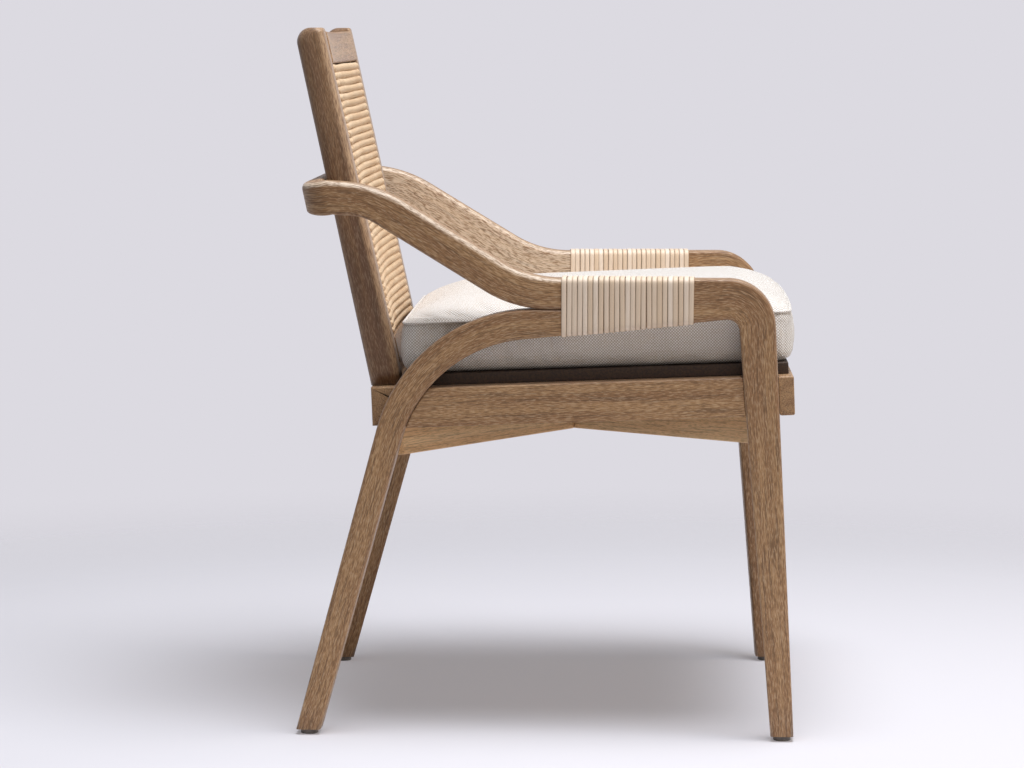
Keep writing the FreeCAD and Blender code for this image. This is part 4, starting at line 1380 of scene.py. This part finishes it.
    def rows(self) -> np.ndarray:
        """Places of the rope's turns between the rails.

        Returns:
            Distance of each turn up the back from its foot.
        """
        chair = self.sizes
        rise = chair.overall_height - chair.rail_top(chair.back_foot)
        length = rise / math.cos(math.radians(chair.back_lean))
        low = self.bottom_rail_rise + self.bottom_rail_depth
        high = length - self.top_rail_drop - self.top_rail_depth
        room = high - low - self.rope_diameter
        turns = int((room - 2 * self.rope_clearance) // self.rope_pitch) + 1
        start = low + self.rope_diameter / 2 + (room - (turns - 1) * self.rope_pitch) / 2
        return start + np.arange(turns) * self.rope_pitch

    def racetrack(self) -> tuple[np.ndarray, np.ndarray]:
        """One level turn of rope round the hollow row of stakes.

        Returns:
            Rows of across and depth, and the outward direction at each.
        """
        spacing = self.stake_diameter + 2 * self.stake_clearance + self.rope_diameter
        middle = -self.weave_proud + self.rope_diameter / 2 + spacing / 2
        half_panel = self.sizes.half_back - self.sizes.stile_width
        half_chord = half_panel - self.rope_clearance - (spacing + self.rope_diameter) / 2
        radius = (half_chord**2 + self.back_hollow**2) / (2 * self.back_hollow)
        half_angle = math.asin(half_chord / radius)
        sweep = np.linspace(-half_angle, half_angle, int(2 * half_angle * radius / self.rope_step))
        ray = np.column_stack((np.sin(sweep), np.cos(sweep)))
        hub = np.array((0.0, middle + self.back_hollow - radius))
        turn_steps = int(math.pi * spacing / 2 / self.rope_step) + 2
        half_turn = np.linspace(0, math.pi, turn_steps)[1:-1, None]
        path, out = [], []
        for rays, outward in ((ray, 1), (ray[::-1], -1)):
            last = rays[-1]
            ahead = np.array((last[1], -last[0])) * outward
            curl = np.cos(half_turn) * last * outward + np.sin(half_turn) * ahead
            run = hub + rays * (radius + outward * spacing / 2)
            path += [run, hub + last * radius + curl * spacing / 2]
            out += [outward * rays, curl]
        return np.vstack(path), np.vstack(out)

    def build(self, draws: np.random.Generator) -> None:
        """Make and place the back's pieces.

        Args:
            draws: Source of the small differences between pieces.
        """
        for side in Side:
            piece = self.stile(side).build(draws.uniform(0, BOARD_LENGTH))
            place_piece(piece, Body.FRAME, STILE_SHADE_OAK, [f"back_stile_{side.word}"])
        band = self.band().build(draws.uniform(0, BOARD_LENGTH))
        place_piece(band, Body.FRAME, OAK, ["back_band"])
        place_piece(self.weave(draws), Body.FRAME, ROPE, ["rope_weave"])
        for rail in ("back_top_rail", "back_bottom_rail"):
            dress_node(rail, OAK, self.rail_edge)
        dress_node("band_plugs", OAK, self.plug_edge)
        dress_node("weave_stakes", BLOCK_WOOD, self.stake_edge)


@dataclass
class SeatFrame:
    """Rails, stretchers, blocks and deck under the cushion, with every fixing and the floor glides."""

    rail_edge: float = 2.2
    block_edge: float = 1.0
    fixing_edge: float = 0.3
    glide_edge: float = 1.2
    rails: Sequence[str] = ("front_rail", "rear_rail", "side_rail_right", "side_rail_left")
    stretchers: Sequence[str] = ("cross_stretcher_over", "cross_stretcher_under")
    blocks: Sequence[str] = ("front_corner_blocks", "rear_corner_blocks", "deck_cleat")
    dowels: Sequence[str] = (
        "arm_joint_dowels",
        "front_rail_dowels",
        "rear_rail_dowels",
        "stretcher_dowels",
        "stile_dowels",
        "back_rail_dowels",
        "band_dowels",
    )
    metal: Sequence[str] = ("deck_screws", "band_screws", "leg_bolts", "glide_pins")

    def dress(self) -> None:
        """Finish the carried-over nodes of the seat frame."""
        for name in self.rails:
            dress_node(name, OAK, self.rail_edge)
        for name in self.stretchers:
            dress_node(name, PALE_OAK, self.rail_edge)
        for name in self.blocks:
            dress_node(name, BLOCK_WOOD, self.block_edge)
        dress_node("seat_deck", DECK_PLY, self.block_edge)
        for name in self.dowels:
            dress_node(name, BLOCK_WOOD, self.fixing_edge)
        for name in self.metal:
            dress_node(name, STEEL, self.fixing_edge)
        dress_node("floor_glides", GLIDE, self.glide_edge)


@dataclass
class Zip:
    """Zip in the cushion's rear band: a tape with teeth, and the slider that runs along it.

    Its rear is the depth of the band's face, and its middle is a height over the rails.
    """

    sizes: ChairSizes
    rear: float
    middle: float
    length: float = 330.0
    width: float = 12.0
    clearance: float = 0.2
    cover_thickness: float = 1.4
    tooth_pitch: float = 2.5
    tooth_start: float = 0.2
    tooth_share: float = 0.62
    tooth_height: float = 0.7
    tooth_root: float = 0.1
    tooth_reach: float = 2.0
    tooth_overlap: float = 0.9
    slider_length: float = 11.0
    slider_width: float = 8.0
    slider_thickness: float = 3.0
    slider_gap: float = 0.3
    slider_end_gap: float = 8.0
    slider_nose: float = 2.0
    slider_taper: float = 0.55
    body_share: float = 0.55
    bridge_half_length: float = 3.2
    bridge_half_width: float = 1.2
    bridge_root: float = 1.2
    pull_length: float = 20.0
    pull_width: float = 5.0
    pull_thickness: float = 1.2
    pull_start: float = 1.0
    pull_shy: float = 0.2
    cast_edge: float = 0.5

    @staticmethod
    def blocks(boxes: Sequence[Sequence[Sequence[float]]]) -> tuple[np.ndarray, list[list[int]]]:
        """Points and faces of level boxes.

        Args:
            boxes: Lowest and highest corner of each box.
        Returns:
            Points as rows, and the point numbers of each face.
        """
        points, faces = [], []
        for low, high in boxes:
            ring = [(low[0], low[2]), (high[0], low[2]), (high[0], high[2]), (low[0], high[2])]
            faces += ring_faces(2, len(ring), False, len(points))
            points += [(x, y, z) for y in (low[1], high[1]) for x, z in ring]
        return np.array(points), faces

    def tape(self) -> bpy.types.Object:
        """Tape with its two rows of meshed teeth.

        Returns:
            The piece.
        """
        half_long, half_tape = self.length / 2 - self.clearance, self.width / 2 - self.clearance
        front, back = self.rear - self.cover_thickness, self.rear - self.tooth_height
        boxes = [((-half_long, front, self.middle - half_tape), (half_long, back, self.middle + half_tape))]
        for tooth in range(int(2 * half_long // self.tooth_pitch)):
            start = -half_long + (tooth + self.tooth_start) * self.tooth_pitch
            end = start + self.tooth_share * self.tooth_pitch
            reaches = (self.tooth_reach, self.tooth_overlap)
            down, up = reaches if tooth % 2 else reversed(reaches)
            low = (start, back - self.tooth_root, self.middle - down)
            boxes.append((low, (end, self.rear, self.middle + up)))
        points, faces = self.blocks(boxes)
        return mesh_piece("zip_tape_toothed", self.sizes.seated(points), faces)

    def slider(self) -> bpy.types.Object:
        """Slider with its tapered body, bridge and pull.

        Returns:
            The piece.
        """
        start, back = -self.length / 2 + self.slider_end_gap, self.rear + self.slider_gap
        nose, end, top = start + self.slider_nose, start + self.slider_length, back + self.slider_thickness
        half = self.slider_width / 2
        narrow = half * self.slider_taper
        body = np.array([(nose, -narrow), (end, -half), (end, half), (nose, narrow), (start, 0.0)])
        layers = [
            np.column_stack((body[:, 0], np.full(len(body), depth), self.middle + body[:, 1]))
            for depth in (back, back + self.body_share * self.slider_thickness)
        ]
        points, faces = np.vstack(layers), ring_faces(len(layers), len(body), False)
        hang = start + self.slider_length / 2
        bridge = (
            (hang - self.bridge_half_length, back + self.bridge_root, self.middle - self.bridge_half_width),
            (hang + self.bridge_half_length, top, self.middle + self.bridge_half_width),
        )
        pull = (
            (hang - self.pull_width / 2, top - self.pull_thickness, self.middle - self.pull_length),
            (hang + self.pull_width / 2, top - self.pull_shy, self.middle - self.pull_start),
        )
        more, more_faces = self.blocks((bridge, pull))
        faces += [[number + len(points) for number in face] for face in more_faces]
        piece = mesh_piece("zip_slider_cast", self.sizes.seated(np.vstack((points, more))), faces)
        soften = piece.modifiers.new("cast_edges", "BEVEL")
        soften.width = self.cast_edge * MM
        soften.segments = EDGE_SEGMENTS
        return piece


@dataclass(frozen=True)
class Pucker:
    """Small uneven folds of a cover along its seam, in millimetres."""

    height: float = 0.7
    length: float = 17.0
    reach: float = 12.0
    flat: float = 4.0
    sway: float = 1.7
    sway_rate: float = 0.23
    mean: float = 0.6
    swing: float = 0.4
    swing_rate: float = 0.11
    swing_start: float = 1.0

    def lift(self, along: np.ndarray, distance: np.ndarray) -> np.ndarray:
        """Height of the folds.

        Args:
            along: Distance of each point round the seam.
            distance: Distance of each point from the seam.
        Returns:
            Height of the fold at each point.
        """
        turn = 2 * math.pi * along / self.length
        swing = self.mean + self.swing * np.sin(turn * self.swing_rate + self.swing_start)
        fold = np.sin(turn + self.sway * np.sin(turn * self.sway_rate)) * swing
        fade = np.exp(-distance / self.reach) * np.clip(distance / self.flat, 0, 1)
        return fold * fade * self.height


@dataclass
class Cushion:
    """Loose box cushion in linen: cover swelled by cloth simulation, piping and zip."""

    sizes: ChairSizes
    side_gap: float = 8.0
    rear_gap: float = 4.0
    rest_gap: float = 0.3
    band: float = 61.0
    crown: float = 22.0
    crown_reach: float = 24.0
    crown_shares: Sequence[float] = (0.99, 0.97, 0.94, 0.9, 0.85, 0.79, 0.72, 0.6, 0.45, 0.3, 0.15)
    front_reach: float = 15.0
    front_bow: float = 4.5
    bow_power: int = 16
    corner_radius: float = 20.0
    corner_droop: float = 1.5
    droop_reach: float = 24.0
    side_bulge: float = 3.5
    front_bulge: float = 1.0
    rear_bulge: float = 1.5
    rear_corner_bulge: float = 8.0
    corner_power: int = 6
    bulge_power: float = 0.8
    base_round: float = 13.0
    base_face: float = 1.0
    low_levels: Sequence[float] = (0.0, 1.0, 3.0, 6.0, 10.0)
    first_level: float = 15.0
    level_count: int = 8
    ring_steps: Sequence[int] = (40, 12)
    voxel: float = 5.0
    pressure: float = 4.0
    fabric_mass: float = 0.02
    fabric_slack: float = 0.012
    cloth_quality: int = 5
    swell_cap: float = 9.0
    least_move: float = 0.001
    frames: int = 20
    pinned: float = 4.0
    pinned_corner: float = 0.3
    pucker: Pucker = Pucker()
    seam_steps: Sequence[int] = (160, 24)
    search_blocks: int = 200
    piping_radius: float = 1.5
    piping_lift: float = 0.4
    piping_steps: Sequence[int] = (120, 24)
    piping_around: int = 8
    wobble: float = 0.35
    wobble_length: float = 2.9
    wobble_sway: float = 1.4
    sway_length: float = 13.0
    zip_margin: float = 4.0

    @property
    def front(self) -> float:
        """Depth of the cushion's front, level with the front rail's face.

        Returns:
            Depth in millimetres.
        """
        chair = self.sizes
        middle = chair.rail_top(-chair.half_run) - chair.rail_depth / 2
        share = (middle - chair.glide_height) / (chair.arm_height - chair.glide_height)
        return -chair.half_run + share * chair.front_rake + chair.rail_housing - chair.front_rail_thickness

    @property
    def rear(self) -> float:
        """Depth of the cushion's rear."""
        shift = self.sizes.deck_thickness * math.tan(math.radians(self.sizes.seat_tilt))
        return self.sizes.back_foot - self.rear_gap + shift

    @property
    def base(self) -> float:
        """Height of the cushion's underside over the rails."""
        return self.sizes.deck_thickness + self.rest_gap

    @property
    def zipper(self) -> Zip:
        """Zip along the middle of the rear band."""
        return Zip(self.sizes, self.rear, self.base + self.band / 2)

    def half_width(self, depth: float | np.ndarray) -> float | np.ndarray:
        """Half of the cushion's width at a depth."""
        return self.sizes.half_width_at(depth, self.sizes.half_member + self.side_gap)

    def outline(self, straight_steps: int, bend_steps: int) -> np.ndarray:
        """Plan outline of the cushion, starting at its rear.

        Args:
            straight_steps: Steps along each straight stretch.
            bend_steps: Steps along each corner.
        Returns:
            Rows of across and depth.
        """
        front_half, rear_half = self.half_width(self.front), self.half_width(self.rear)
        corners = [
            Corner(rear_half, self.rear, self.corner_radius),
            Corner(front_half, self.front, self.corner_radius),
            Corner(-front_half, self.front, self.corner_radius),
            Corner(-rear_half, self.rear, self.corner_radius),
        ]
        loop = bent_loop(corners, straight_steps, bend_steps)
        forward = np.clip((self.rear - loop[:, 1]) / (self.rear - self.front), 0, 1)
        loop[:, 1] -= self.bow(loop[:, 0]) * forward**self.bow_power
        return loop

    def bow(self, across: np.ndarray) -> np.ndarray:
        """How far the front swells forwards of its corners at places across."""
        return self.front_bow * np.clip(1 - (across / self.half_width(self.front)) ** 2, 0, None)

    def edge_distances(self, points: np.ndarray) -> np.ndarray:
        """Distances of plan points from the four edges, inwards.

        Args:
            points: Rows of across and depth.
        Returns:
            Distances from the front, the rear and the two sides, as rows.
        """
        half = self.half_width(points[:, 1])
        ends = (points[:, 1] - self.front + self.bow(points[:, 0]), self.rear - points[:, 1])
        return np.stack((*ends, half - points[:, 0], half + points[:, 0]))

    def edge_distance(self, points: np.ndarray) -> np.ndarray:
        """Distance of each plan point from the cushion's nearest straight edge, inwards."""
        return self.edge_distances(points).min(0)

    def dome(self, points: np.ndarray) -> np.ndarray:
        """Height of the slack crown over the top seam.

        Args:
            points: Rows of across and depth.
        Returns:
            Height at each point.
        """
        distances = np.clip(self.edge_distances(points), 0, None)
        reaches = np.array([[self.front_reach], *[[self.crown_reach]] * 3])
        return self.crown * np.prod(1 - np.exp(-distances / reaches), axis=0)

    def droop(self, points: np.ndarray) -> np.ndarray:
        """How far the top seam sinks towards the nearer front corner.

        Args:
            points: Rows of across and depth.
        Returns:
            Drop at each point.
        """
        distances = np.clip(self.edge_distances(points), 0, None)
        to_corner = distances[0] + distances[2:].min(0)
        return self.corner_droop * np.exp(-to_corner / self.droop_reach)

    def ring(self, height: float) -> np.ndarray:
        """Outline of the slack cover at a height, bulged between its seams and rounded in below.

        Args:
            height: Height over the underside, up to the band's depth.
        Returns:
            Rows of across, depth and height.
        """
        loop = self.outline(*self.ring_steps)
        out = outward_normals(loop)
        to_corner = (np.abs(loop[:, 0]) / np.abs(loop[:, 0]).max()) ** self.corner_power
        rear = self.rear_bulge + (self.rear_corner_bulge - self.rear_bulge) * to_corner
        facing = out[:, 1] ** 2
        reach = facing * np.where(out[:, 1] > 0, rear, self.front_bulge) + (1 - facing) * self.side_bulge
        swell = max(0.0, math.sin(math.pi * height / self.band)) ** self.bulge_power
        low = max(0.0, self.base_round - height)
        tuck = self.base_round - math.sqrt(self.base_round**2 - low**2)
        plan = loop + out * (reach * swell - tuck)[:, None]
        return np.column_stack((plan, height - self.droop(plan) * height / self.band))

    def blank(self) -> bpy.types.Object:
        """Slack cover with a low crown, voxel remeshed and level.

        Returns:
            The cover.
        """
        high_levels = np.linspace(self.first_level, self.band, self.level_count)
        rings = [self.ring(height) for height in (*self.low_levels, *high_levels)]
        seam = rings[-1][:, :2]
        centre = seam.mean(0)
        for share in self.crown_shares:
            plan = centre + (seam - centre) * share
            rings.append(np.column_stack((plan, self.band + self.dome(plan) - self.droop(plan))))
        faces = ring_faces(len(rings), len(seam), False)
        piece = mesh_piece("linen_cushion", np.vstack(rings) * MM, faces)
        remesh = piece.modifiers.new("remesh", "REMESH")
        remesh.mode = "VOXEL"
        remesh.voxel_size = self.voxel * MM
        self.apply_modifiers(piece)
        return piece

    @staticmethod
    def apply_modifiers(piece: bpy.types.Object) -> None:
        """Make a piece's modifiers part of its mesh.

        Args:
            piece: Piece with modifiers.
        """
        graph = bpy.context.evaluated_depsgraph_get()
        mesh = bpy.data.meshes.new_from_object(piece.evaluated_get(graph))
        piece.modifiers.clear()
        piece.data = mesh
        piece.data.shade_smooth()

    @staticmethod
    def places(piece: bpy.types.Object) -> np.ndarray:
        """Points of a piece in millimetres.

        Args:
            piece: Piece to read.
        Returns:
            Points as rows.
        """
        flat = np.empty(len(piece.data.vertices) * 3)
        piece.data.vertices.foreach_get("co", flat)
        return flat.reshape(-1, 3) / MM

    @staticmethod
    def set_places(piece: bpy.types.Object, places: np.ndarray) -> None:
        """Move a piece's points to places in millimetres."""
        piece.data.vertices.foreach_set("co", (places * MM).ravel())
        piece.data.update()

    def swell(self, piece: bpy.types.Object) -> None:
        """Swell the slack cover under pressure, held along its seams and its underside.

        Args:
            piece: Slack cover, not yet tilted into the seat.
        """
        places = self.places(piece)
        to_edge = self.edge_distance(places)
        rise = places[:, 2] + self.droop(places) - self.band
        near_edge = to_edge < self.pinned + self.pinned_corner * self.corner_radius
        on_seam = near_edge & (np.abs(rise) < self.pinned)
        held = on_seam | (places[:, 2] < self.pinned)
        group = piece.vertex_groups.new(name="seams")
        group.add(np.flatnonzero(held).tolist(), 1.0, "REPLACE")
        cloth = piece.modifiers.new("cloth", "CLOTH")
        cloth.settings.quality = self.cloth_quality
        cloth.settings.mass = self.fabric_mass
        cloth.settings.shrink_min = -self.fabric_slack
        cloth.settings.use_pressure = True
        cloth.settings.uniform_pressure_force = self.pressure
        cloth.settings.vertex_group_mass = group.name
        cloth.settings.effector_weights.gravity = 0.0
        cloth.collision_settings.use_collision = False
        scene = bpy.context.scene
        for step in range(1, self.frames + 1):
            scene.frame_set(step)
        self.apply_modifiers(piece)
        scene.frame_set(1)
        move = self.places(piece) - places
        size = np.linalg.norm(move, axis=1, keepdims=True)
        LOG.info("cloth moved by up to %.1f mm, by %.1f mm on average", size.max(), size.mean())
        share = np.minimum(1, self.swell_cap / np.maximum(size, self.least_move))
        self.set_places(piece, places + move * share)

    def finish_cover(self, piece: bpy.types.Object) -> None:
        """Subdivide the cover, pucker it along its seam, make room for the zip and seat it.

        Args:
            piece: Swollen cover, not yet tilted into the seat.
        """
        finer = piece.modifiers.new("finer", "SUBSURF")
        finer.levels = 1
        self.apply_modifiers(piece)
        piece.vertex_groups.clear()
        places = self.places(piece)
        seam = self.outline(*self.seam_steps)
        along = run_lengths(np.vstack((seam, seam[:1])))
        blocks = np.array_split(places[:, :2], self.search_blocks)
        nearest = np.concatenate([((block[:, None] - seam) ** 2).sum(-1).argmin(1) for block in blocks])
        normals = outward_normals(seam)
        tangent = np.column_stack((normals[:, 1], -normals[:, 0]))
        offset = places[:, :2] - seam[nearest]
        round_seam = along[nearest] + (offset * tangent[nearest]).sum(1)
        rise = places[:, 2] + self.droop(places) - self.band
        lift = self.pucker.lift(round_seam, np.hypot(np.linalg.norm(offset, axis=1), rise))
        places[:, 2] += np.where(rise > 0, lift, 0)
        places[:, :2] += normals[nearest] * np.where(rise > 0, 0, lift)[:, None]
        bed = self.rear - self.zipper.cover_thickness
        beside = np.abs(places[:, 0]) < self.zipper.length / 2 + self.zip_margin
        level = np.abs(places[:, 2] - self.band / 2) < self.zipper.width / 2 + self.zip_margin
        places[beside & level & (places[:, 1] > bed), 1] = bed
        places[:, 2] = np.maximum(places[:, 2], 0)
        self.keep_threads(piece, places, rise, round_seam, along[-1])
        self.set_places(piece, self.sizes.seated(places + (0, 0, self.base)) / MM)

    def keep_threads(
        self,
        piece: bpy.types.Object,
        places: np.ndarray,
        rise: np.ndarray,
        round_seam: np.ndarray,
        whole: float,
    ) -> None:
        """Keep the run of the threads on each panel of the cover.

        Args:
            piece: Cover.
            places: Its points, level in millimetres.
            rise: Height of each point over the top seam.
            round_seam: Distance of each point round the seam.
            whole: Length of the whole seam.
        """
        mesh = piece.data
        corners = np.empty(len(mesh.loops), np.int32)
        mesh.loops.foreach_get("vertex_index", corners)
        starts = np.empty(len(mesh.polygons), np.int32)
        mesh.polygons.foreach_get("loop_start", starts)
        counts = np.diff(np.append(starts, len(corners)))
        face_of = np.repeat(np.arange(len(starts)), counts)
        height = np.add.reduceat(places[corners, 2], starts) / counts
        over = np.add.reduceat(rise[corners], starts) / counts
        to_edge = np.add.reduceat(self.edge_distance(places)[corners], starts) / counts
        level = (over > 0) | (height < self.base_face) & (to_edge > self.base_round)
        along = round_seam[corners]
        first = round_seam[corners[starts]][face_of]
        along = along + whole * np.round((first - along) / whole)
        upright = np.column_stack((along, places[corners, 2], np.zeros(len(corners))))
        flat = np.column_stack((places[corners, :2], np.zeros(len(corners))))
        threads = np.where(level[face_of][:, None], flat, upright) * MM
        store = mesh.attributes.new("thread", "FLOAT_VECTOR", "CORNER")
        store.data.foreach_set("vector", np.ascontiguousarray(threads, np.float32).ravel())

    def cover(self) -> bpy.types.Object:
        """Sewn cover, swollen and seated.

        Returns:
            The cover.
        """
        piece = self.blank()
        self.swell(piece)
        self.finish_cover(piece)
        return piece

    def piping(self) -> bpy.types.Object:
        """Thin rolled seam round the top of the cover.

        Returns:
            The piping.
        """
        seam = self.outline(*self.piping_steps)
        outward = outward_normals(seam)
        angles = np.linspace(0, 2 * math.pi, self.piping_around, endpoint=False)
        along = run_lengths(np.vstack((seam, seam[:1])))[:-1]
        sway = self.wobble_sway * np.sin(along / self.sway_length)
        wobble = self.wobble * np.sin(along / self.wobble_length + sway)
        reach = wobble[:, None] + self.piping_radius * np.cos(angles)
        level = seam[:, None] + outward[:, None] * reach[..., None]
        middle = self.band + self.piping_lift - self.droop(seam)
        height = middle[:, None] + self.piping_radius * np.sin(angles) + self.base
        points = np.concatenate((level, height[..., None]), -1).reshape(-1, 3)
        faces = ring_faces(len(seam), self.piping_around, True)
        piece = mesh_piece("cushion_piping", self.sizes.seated(points), faces)
        threads = np.broadcast_arrays(along[:, None], self.piping_radius * angles, np.zeros((1, 1)))
        keep_field(piece, "thread", np.stack(threads, -1).reshape(-1, 3) * MM)
        return piece

    def build(self) -> None:
        """Make and place the cushion's pieces."""
        cover = self.cover()
        place_piece(cover, Body.CUSHION, LINEN, ["cushion_cover", "cushion_foam"])
        place_piece(self.piping(), Body.CUSHION, PIPING)
        place_piece(self.zipper.tape(), Body.CUSHION, TAPE, ["zip_tape"])
        place_piece(self.zipper.slider(), Body.SLIDER, NICKEL, ["zip_slider"])


@dataclass(frozen=True)
class SoftBox:
    """Square soft lamp: its power in watts, its side and its place in millimetres."""

    name: str
    colour: str
    power: float
    size: float
    place: Sequence[float]

    def hang(self, aim: Sequence[float]) -> None:
        """Hang the lamp so that it points at the chair.

        Args:
            aim: Place that it points at.
        """
        lamp = bpy.data.lights.new(self.name, "AREA")
        lamp.color = linear(self.colour)[:3]
        lamp.size = self.size * MM
        lamp.energy = self.power
        soft_box = bpy.data.objects.new(self.name, lamp)
        soft_box.location = Vector(self.place) * MM
        away = Vector(self.place) - Vector(aim)
        soft_box.rotation_euler = away.to_track_quat("Z", "Y").to_euler()
        soft_box.visible_camera = False
        bpy.context.scene.collection.objects.link(soft_box)


@dataclass
class Studio:
    """Pale floor, soft light and the camera."""

    focal_pixels: float = 3426.97
    picture_width: int = 1024
    sensor: float = 36.0
    camera_place: Sequence[float] = (-4389.9, -109.4, 859.4)
    camera_yaw: float = 2.0626
    camera_pitch: float = 5.8807
    backdrop: str = "#dcdae1"
    floor: str = "#faf8fd"
    floor_radius: float = 6000.0
    floor_points: int = 96
    floor_roughness: float = 0.9
    floor_gloss: float = 0.1
    fade_start: float = 700.0
    fade_end: float = 2100.0
    haze: float = 0.28
    room: str = "#fbf8f4"
    ambient: float = 0.1
    lamps: Sequence[SoftBox] = (
        SoftBox("overhead_box", "#f6f9ff", 110.0, 1700.0, (-620.0, -400.0, 3200.0)),
        SoftBox("low_board", "#fff1e2", 4.0, 1500.0, (-2100.0, -900.0, 700.0)),
        SoftBox("front_board", "#fff1e2", 16.0, 1500.0, (-350.0, -2600.0, 1000.0)),
    )
    aim: Sequence[float] = (0.0, 0.0, 450.0)

    def stand_camera(self) -> None:
        """Stand the camera at the photograph's place."""
        data = bpy.data.cameras.new("photo_camera")
        data.sensor_width = self.sensor
        data.lens = self.focal_pixels / self.picture_width * self.sensor
        camera = bpy.data.objects.new("photo_camera", data)
        yaw, pitch = math.radians(self.camera_yaw), math.radians(self.camera_pitch)
        ahead = Vector(
            (math.cos(yaw) * math.cos(pitch), math.sin(yaw) * math.cos(pitch), -math.sin(pitch))
        )
        right = ahead.cross(Vector((0, 0, 1))).normalized()
        up = right.cross(ahead)
        turn = Matrix((right, up, -ahead)).transposed().to_4x4()
        camera.matrix_world = Matrix.Translation(Vector(self.camera_place) * MM) @ turn
        bpy.context.scene.collection.objects.link(camera)
        bpy.context.scene.camera = camera

    @staticmethod
    def seen_rays(tree: bpy.types.NodeTree) -> bpy.types.NodeSocket:
        """Share that is 1 where the camera sees a surface, also in gloss or through glass.

        Args:
            tree: Tree that gets the share.
        Returns:
            Socket with the share.
        """
        paths = add_node(tree, "LightPath")
        seen = paths.outputs["Is Camera Ray"]
        for ray in ("Is Glossy Ray", "Is Transmission Ray"):
            either = {0: seen, 1: paths.outputs[ray]}
            seen = add_node(tree, "Math", either, operation="MAXIMUM").outputs[0]
        return seen

    def lay_floor(self) -> None:
        """Lay a pale floor that fades into the backdrop, a little hazy and clear from below."""
        turn = np.linspace(0, 2 * math.pi, self.floor_points, endpoint=False)
        radius = self.floor_radius * MM
        rim = np.column_stack((radius * np.cos(turn), radius * np.sin(turn), np.zeros(len(turn))))
        floor = mesh_piece("studio_floor", rim, [list(range(len(turn)))])
        material = bpy.data.materials.new("painted_floor")
        material.use_nodes = True
        tree = material.node_tree
        shader = tree.nodes["Principled BSDF"]
        shader.inputs["Base Color"].default_value = linear(self.floor)
        shader.inputs["Roughness"].default_value = self.floor_roughness
        shader.inputs["Specular IOR Level"].default_value = self.floor_gloss
        place = add_node(tree, "TexCoord").outputs["Object"]
        distance = add_node(tree, "VectorMath", {0: place}, operation="LENGTH").outputs["Value"]
        levels = {"Value": distance, "From Min": self.fade_start * MM, "From Max": self.fade_end * MM}
        fade = add_node(tree, "MapRange", levels, interpolation_type="SMOOTHSTEP").outputs[0]
        hazy = {0: self.seen_rays(tree), 1: self.haze}
        haze = add_node(tree, "Math", hazy, operation="MULTIPLY").outputs[0]
        below = add_node(tree, "NewGeometry").outputs["Backfacing"]
        for share in (haze, below):
            fade = add_node(tree, "Math", {0: fade, 1: share}, operation="MAXIMUM").outputs[0]
        clear = add_node(tree, "BsdfTransparent")
        mixed = add_node(tree, "MixShader", {0: fade, 1: shader.outputs[0], 2: clear.outputs[0]})
        tree.links.new(mixed.outputs[0], tree.nodes["Material Output"].inputs["Surface"])
        floor.data.materials.append(material)

    def light(self) -> None:
        """Light the chair from a soft box overhead, boards beside and before it, and a pale room."""
        world = bpy.data.worlds.new("pale_room")
        world.use_nodes = True
        tree = world.node_tree
        seen = self.seen_rays(tree)
        room = add_node(tree, "Background", {"Color": self.room, "Strength": self.ambient})
        shown = add_node(tree, "Background", {"Color": self.backdrop, "Strength": 1.0})
        mixed = add_node(tree, "MixShader", {0: seen, 1: room.outputs[0], 2: shown.outputs[0]})
        tree.links.new(mixed.outputs[0], tree.nodes["World Output"].inputs["Surface"])
        bpy.context.scene.world = world
        for lamp in self.lamps:
            lamp.hang(self.aim)

    def build(self) -> None:
        """Set up the floor, the light, the camera and the plain view transform."""
        self.stand_camera()
        self.lay_floor()
        self.light()
        bpy.context.scene.view_settings.view_transform = "Standard"


def main() -> None:
    """Build the chair and its studio."""
    logging.basicConfig(level=logging.INFO, format="%(name)s: %(message)s")
    draws = np.random.default_rng(SEED)
    sizes = ChairSizes()
    for side in Side:
        SideFrame(side, sizes).build(draws)
    Back(sizes).build(draws)
    SeatFrame().dress()
    Cushion(sizes).build()
    Studio().build()


if __name__ == "__main__":
    main()
